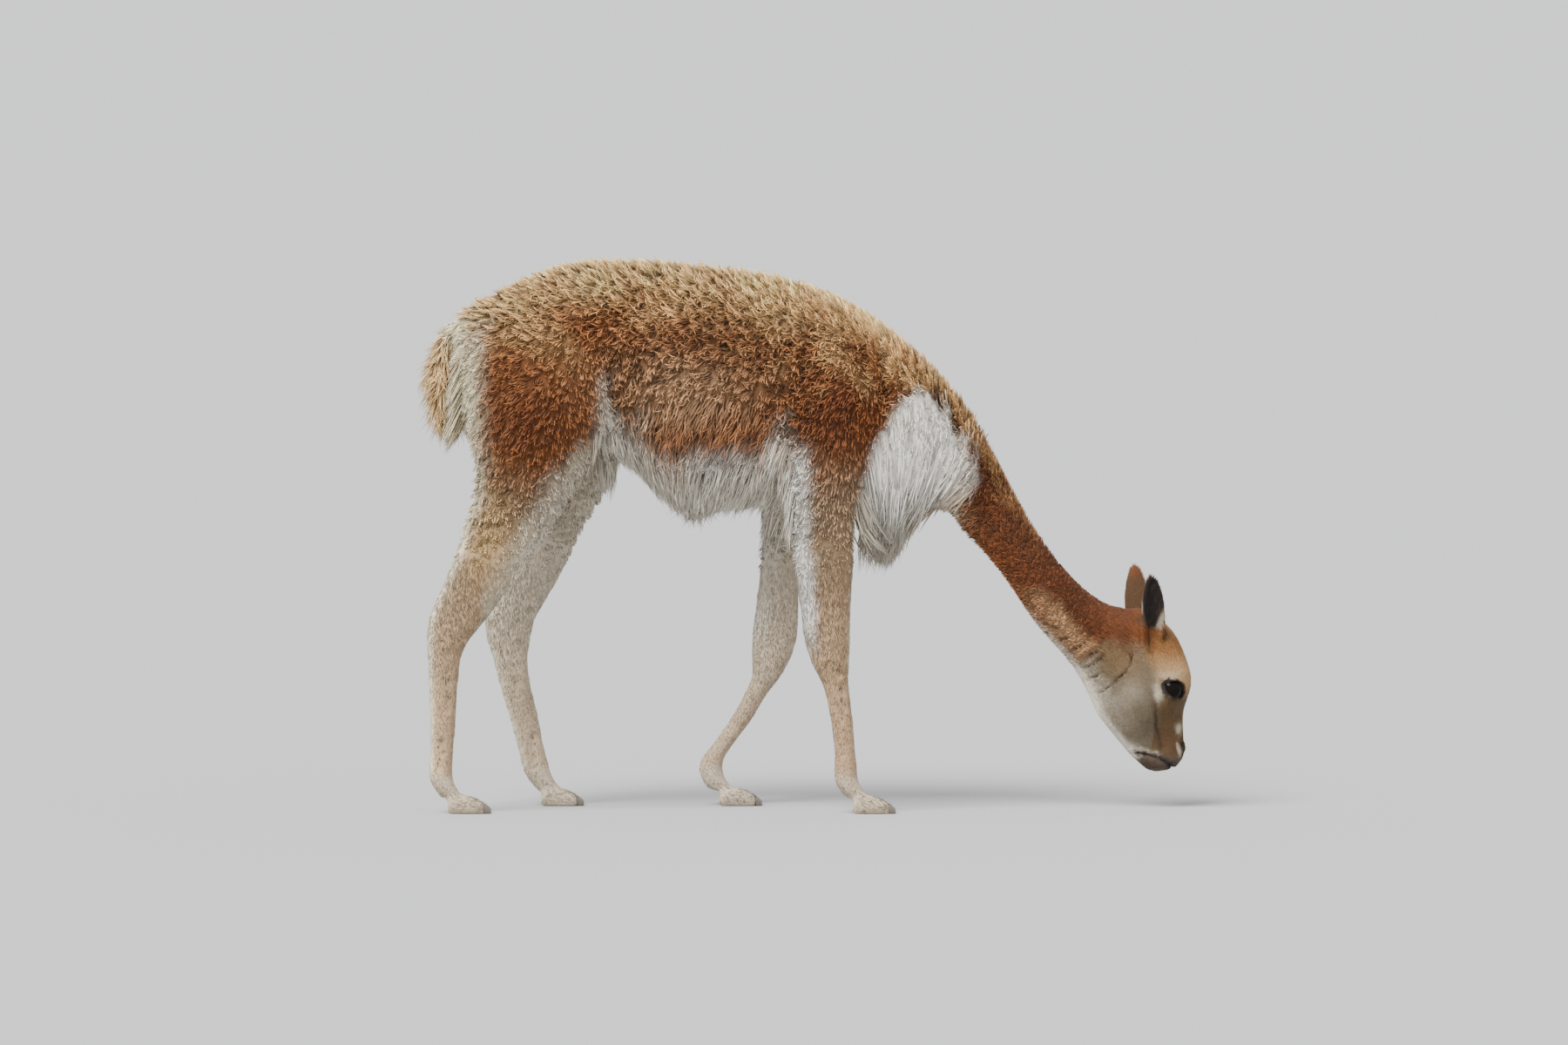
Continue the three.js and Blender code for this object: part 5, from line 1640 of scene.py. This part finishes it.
# %% Grow the belly hair
roots = scatter(BELLY_ZONE, 62000, 6)
middles, nearest, edge = gathered(roots, BELLY_ZONE, 7500, 16, (1.3, 1, 0.5))
length = (0.040 + 0.012 * step(roots["straight"][:, 2], 0.56, 0.50)) * varied(roots, 0.2)
grow("belly_hair", roots, LONG_TUFT, lie_of(roots), length, 0.0042, 0.30, curl=0.12, fall=0.35,
     dark_root=0.65, aim=clump_aim(middles, nearest, length, 0.15, 1.0), aim_pull=0.6,
     shade=varied(middles, 0.08)[nearest] * (1 - 0.45 * edge))

# %% Grow the tail hair
TAIL_POINT = np.array([-0.594, 0.0, 0.600])

roots = scatter(TAIL_ZONE, 110000, 7)
middles, nearest, edge = gathered(roots, TAIL_ZONE, 12000, 17, (1, 1, 0.7))
x, _, z = roots["straight"].T
outer = step(x, -0.565, -0.590)
roots["colour"] = blend(np.tile(TAIL_GOLD, (len(x), 1)), RUMP_CREAM, 1 - outer)
end, top = step(z, 0.70, 0.64), step(z, 0.70, 0.78)
length = (0.040 + 0.012 * end - 0.014 * top) * varied(roots, 0.2)
aim = clump_aim(middles, nearest, length, 0.6, 0.6)
aim = aim + (TAIL_POINT - aim) * (0.45 * end)[:, None]
grow("tail_hair", roots, LONG_TUFT, lie_of(roots), length, 0.0040, 0.62 - 0.40 * top, curl=0.25, fall=0.15,
     dark_root=0.6, aim=aim, aim_pull=0.6, shade=1 - 0.4 * edge)

# %% [markdown]
# ## Short hair
#
# The legs, the face and the ears have short hair that lies close. What shows is less the single hair than a
# fine grain that follows the form, so these tufts are plain spikes, and there are more of them to a square
# metre than on the trunk. The lashes stand out from the rim of each eye's opening.

# %% Grow the hair of the legs
roots = scatter(LEG_ZONE * (Z > 0.006), 250000, 8)
middles, nearest, edge = gathered(roots, LEG_ZONE * (Z > 0.010), 12500, 18, (1.2, 1, 0.6))
crease = np.clip(creases(roots["straight"], COAT_CREASES, 0.0035), 0, 1)
z = roots["straight"][:, 2]
length = np.interp(z, [0.03, 0.05, 0.2, 0.4], [0.010, 0.007, 0.009, 0.014])
width = np.interp(z, [0.05, 0.2, 0.4], [0.0016, 0.0018, 0.0024])
# Painted shade at the edges of clumps and in creases; the rest differs at random.
shade = varied(middles, 0.08)[nearest] * (1 - 0.28 * edge) * (1 - 0.6 * crease) * varied(roots, 0.10)
grow("leg_hair", roots, SPIKE_TUFT, lie_of(roots), length, width, 0.34, droop=0.32, curl=0.15, dark_root=0.80,
     shade=shade, stripes=0)

# %% Grow the hair of the face
off_eye = np.linalg.norm(mirrored(straight) - EYE_MIDDLE, axis=1) > 0.020
roots = scatter(HEAD_ZONE * off_eye, 520000, 9)
x, _, z = roots["straight"].T
crown = step(z, 0.200, 0.270) * step(x, 0.51, 0.54)
poll = step(z, 0.235, 0.265) * step(x, 0.54, 0.51)
cheek = step(past_throat(roots["straight"]), 0.06, 0.0)
throat = step(distance_to_line(roots["straight"], THROAT_LINE), 0.03, 0.005)
length = 0.0055 + 0.008 * np.maximum(crown, poll) + 0.004 * cheek + 0.004 * throat
crease = np.clip(1.3 * creases(roots["straight"], FACE_CREASES, 0.0015), 0, 1)
# Painted shade in the creases of the face.
grow("face_hair", roots, SPIKE_TUFT, lie_of(roots), length, 0.0016 + 0.0006 * crown,
     0.30 + 0.3 * crown + 0.2 * throat, curl=0.2, dark_root=0.6,
     shade=varied(roots, 0.28) * (1 - 0.8 * crease))

# %% Set the lashes and the hair of the ears
LASHES = 90
LASH_ARC = (0.0175, 0.0125)

for name, side in (("near", -1), ("far", 1)):
    rng = np.random.default_rng(40 + side)
    way = np.linspace(-0.9, 1.0, LASHES) + 0.02 * rng.normal(size=LASHES)
    across = LASH_ARC[0] * np.sin(way)[:, None] * EYE_LONG + LASH_ARC[1] * np.cos(way)[:, None] * EYE_HIGH
    ball_out = np.sqrt(EYE_RADIUS**2 - (across**2).sum(axis=1))[:, None] * EYE_OUT
    flip = np.array([1, side, 1])
    start = (EYE_MIDDLE + across + ball_out * 1.06) * flip
    roots = {
        "place": turned(start),
        "straight": start,
        "normal": unit((across + ball_out) * flip),
        "colour": np.tile(EAR_GREY, (LASHES, 1)),
        "map": np.tile(MAP[0], (LASHES, 1)),
        "rng": rng,
    }
    sweep = unit(unit(across) * 0.6 + EYE_OUT + [0.25, 0, -0.25]) * flip
    grow(f"lashes_{name}", roots, SHORT_TUFT, sweep, 0.0085, 0.0007, 0.3, droop=1.2, curl=0.1, thick=0.8)

roots = scatter(EAR_ZONE, 420000, 10)
upward = unit(np.tile([0.0, 0.0, 1.0], (len(roots["place"]), 1)) + 1e-6)
grow("ear_hair", roots, SPIKE_TUFT, upward, 0.006, 0.0015, 0.22, curl=0.12, dark_root=0.8)
print("coat", coat_triangles, "triangles")

# %% [markdown]
# ## Eyes and nails
#
# The eyes are nearly black balls with a clear wet shine. Each toe ends in a nail of grey-brown horn.

# %% Set the eyes
eye_material, _, _ = material("wet_eye", {
    "Roughness": 0.06,
    "Base Color": (0.006, 0.004, 0.003, 1),
    "Specular IOR Level": 0.04,
    "Coat Weight": 0.05,
    "Coat Roughness": 0.02,
})
for name, side in (("near", -1), ("far", 1)):
    bm = bmesh.new()
    bmesh.ops.create_icosphere(bm, subdivisions=4, radius=EYE_RADIUS)
    centre = turned(np.array([EYE_MIDDLE * [1, side, 1]]))[0]
    bmesh.ops.translate(bm, verts=bm.verts, vec=centre)
    eye = link(f"eyeball_{name}", bm)
    shade_smooth(eye)
    eye.data.materials.append(eye_material)
    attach(eye, "root")
    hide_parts(f"eye_{name}")
    print(f"eyeball_{name} at", [round(float(x), 3) for x in centre])

# %% Shape the nails
HORN = (0.15, 0.13, 0.11, 1)
nail_material, nail_tree, nail_shader = material("nail_horn", {"Roughness": 0.45, "Base Color": HORN})
add_bump(nail_tree, nail_shader, 300, 0.2, 0.0005)
for name, toes in TOES.items():
    for i, toe in enumerate(toes):
        nail = link(f"horn_{name}_{i + 1}", tube(toe, NAIL_START + NAIL_PAST, TOE_END, NAIL_STEPS))
        shade_smooth(nail)
        points = positions(nail.data)
        points[:, 2] = np.maximum(points[:, 2], SKIN_FLOOR)
        move_points(nail, points)
        nail.data.materials.append(nail_material)
        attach(nail, "root")
        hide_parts(f"nail_{name}_{i + 1}")
print("nails on", len(TOES), "feet")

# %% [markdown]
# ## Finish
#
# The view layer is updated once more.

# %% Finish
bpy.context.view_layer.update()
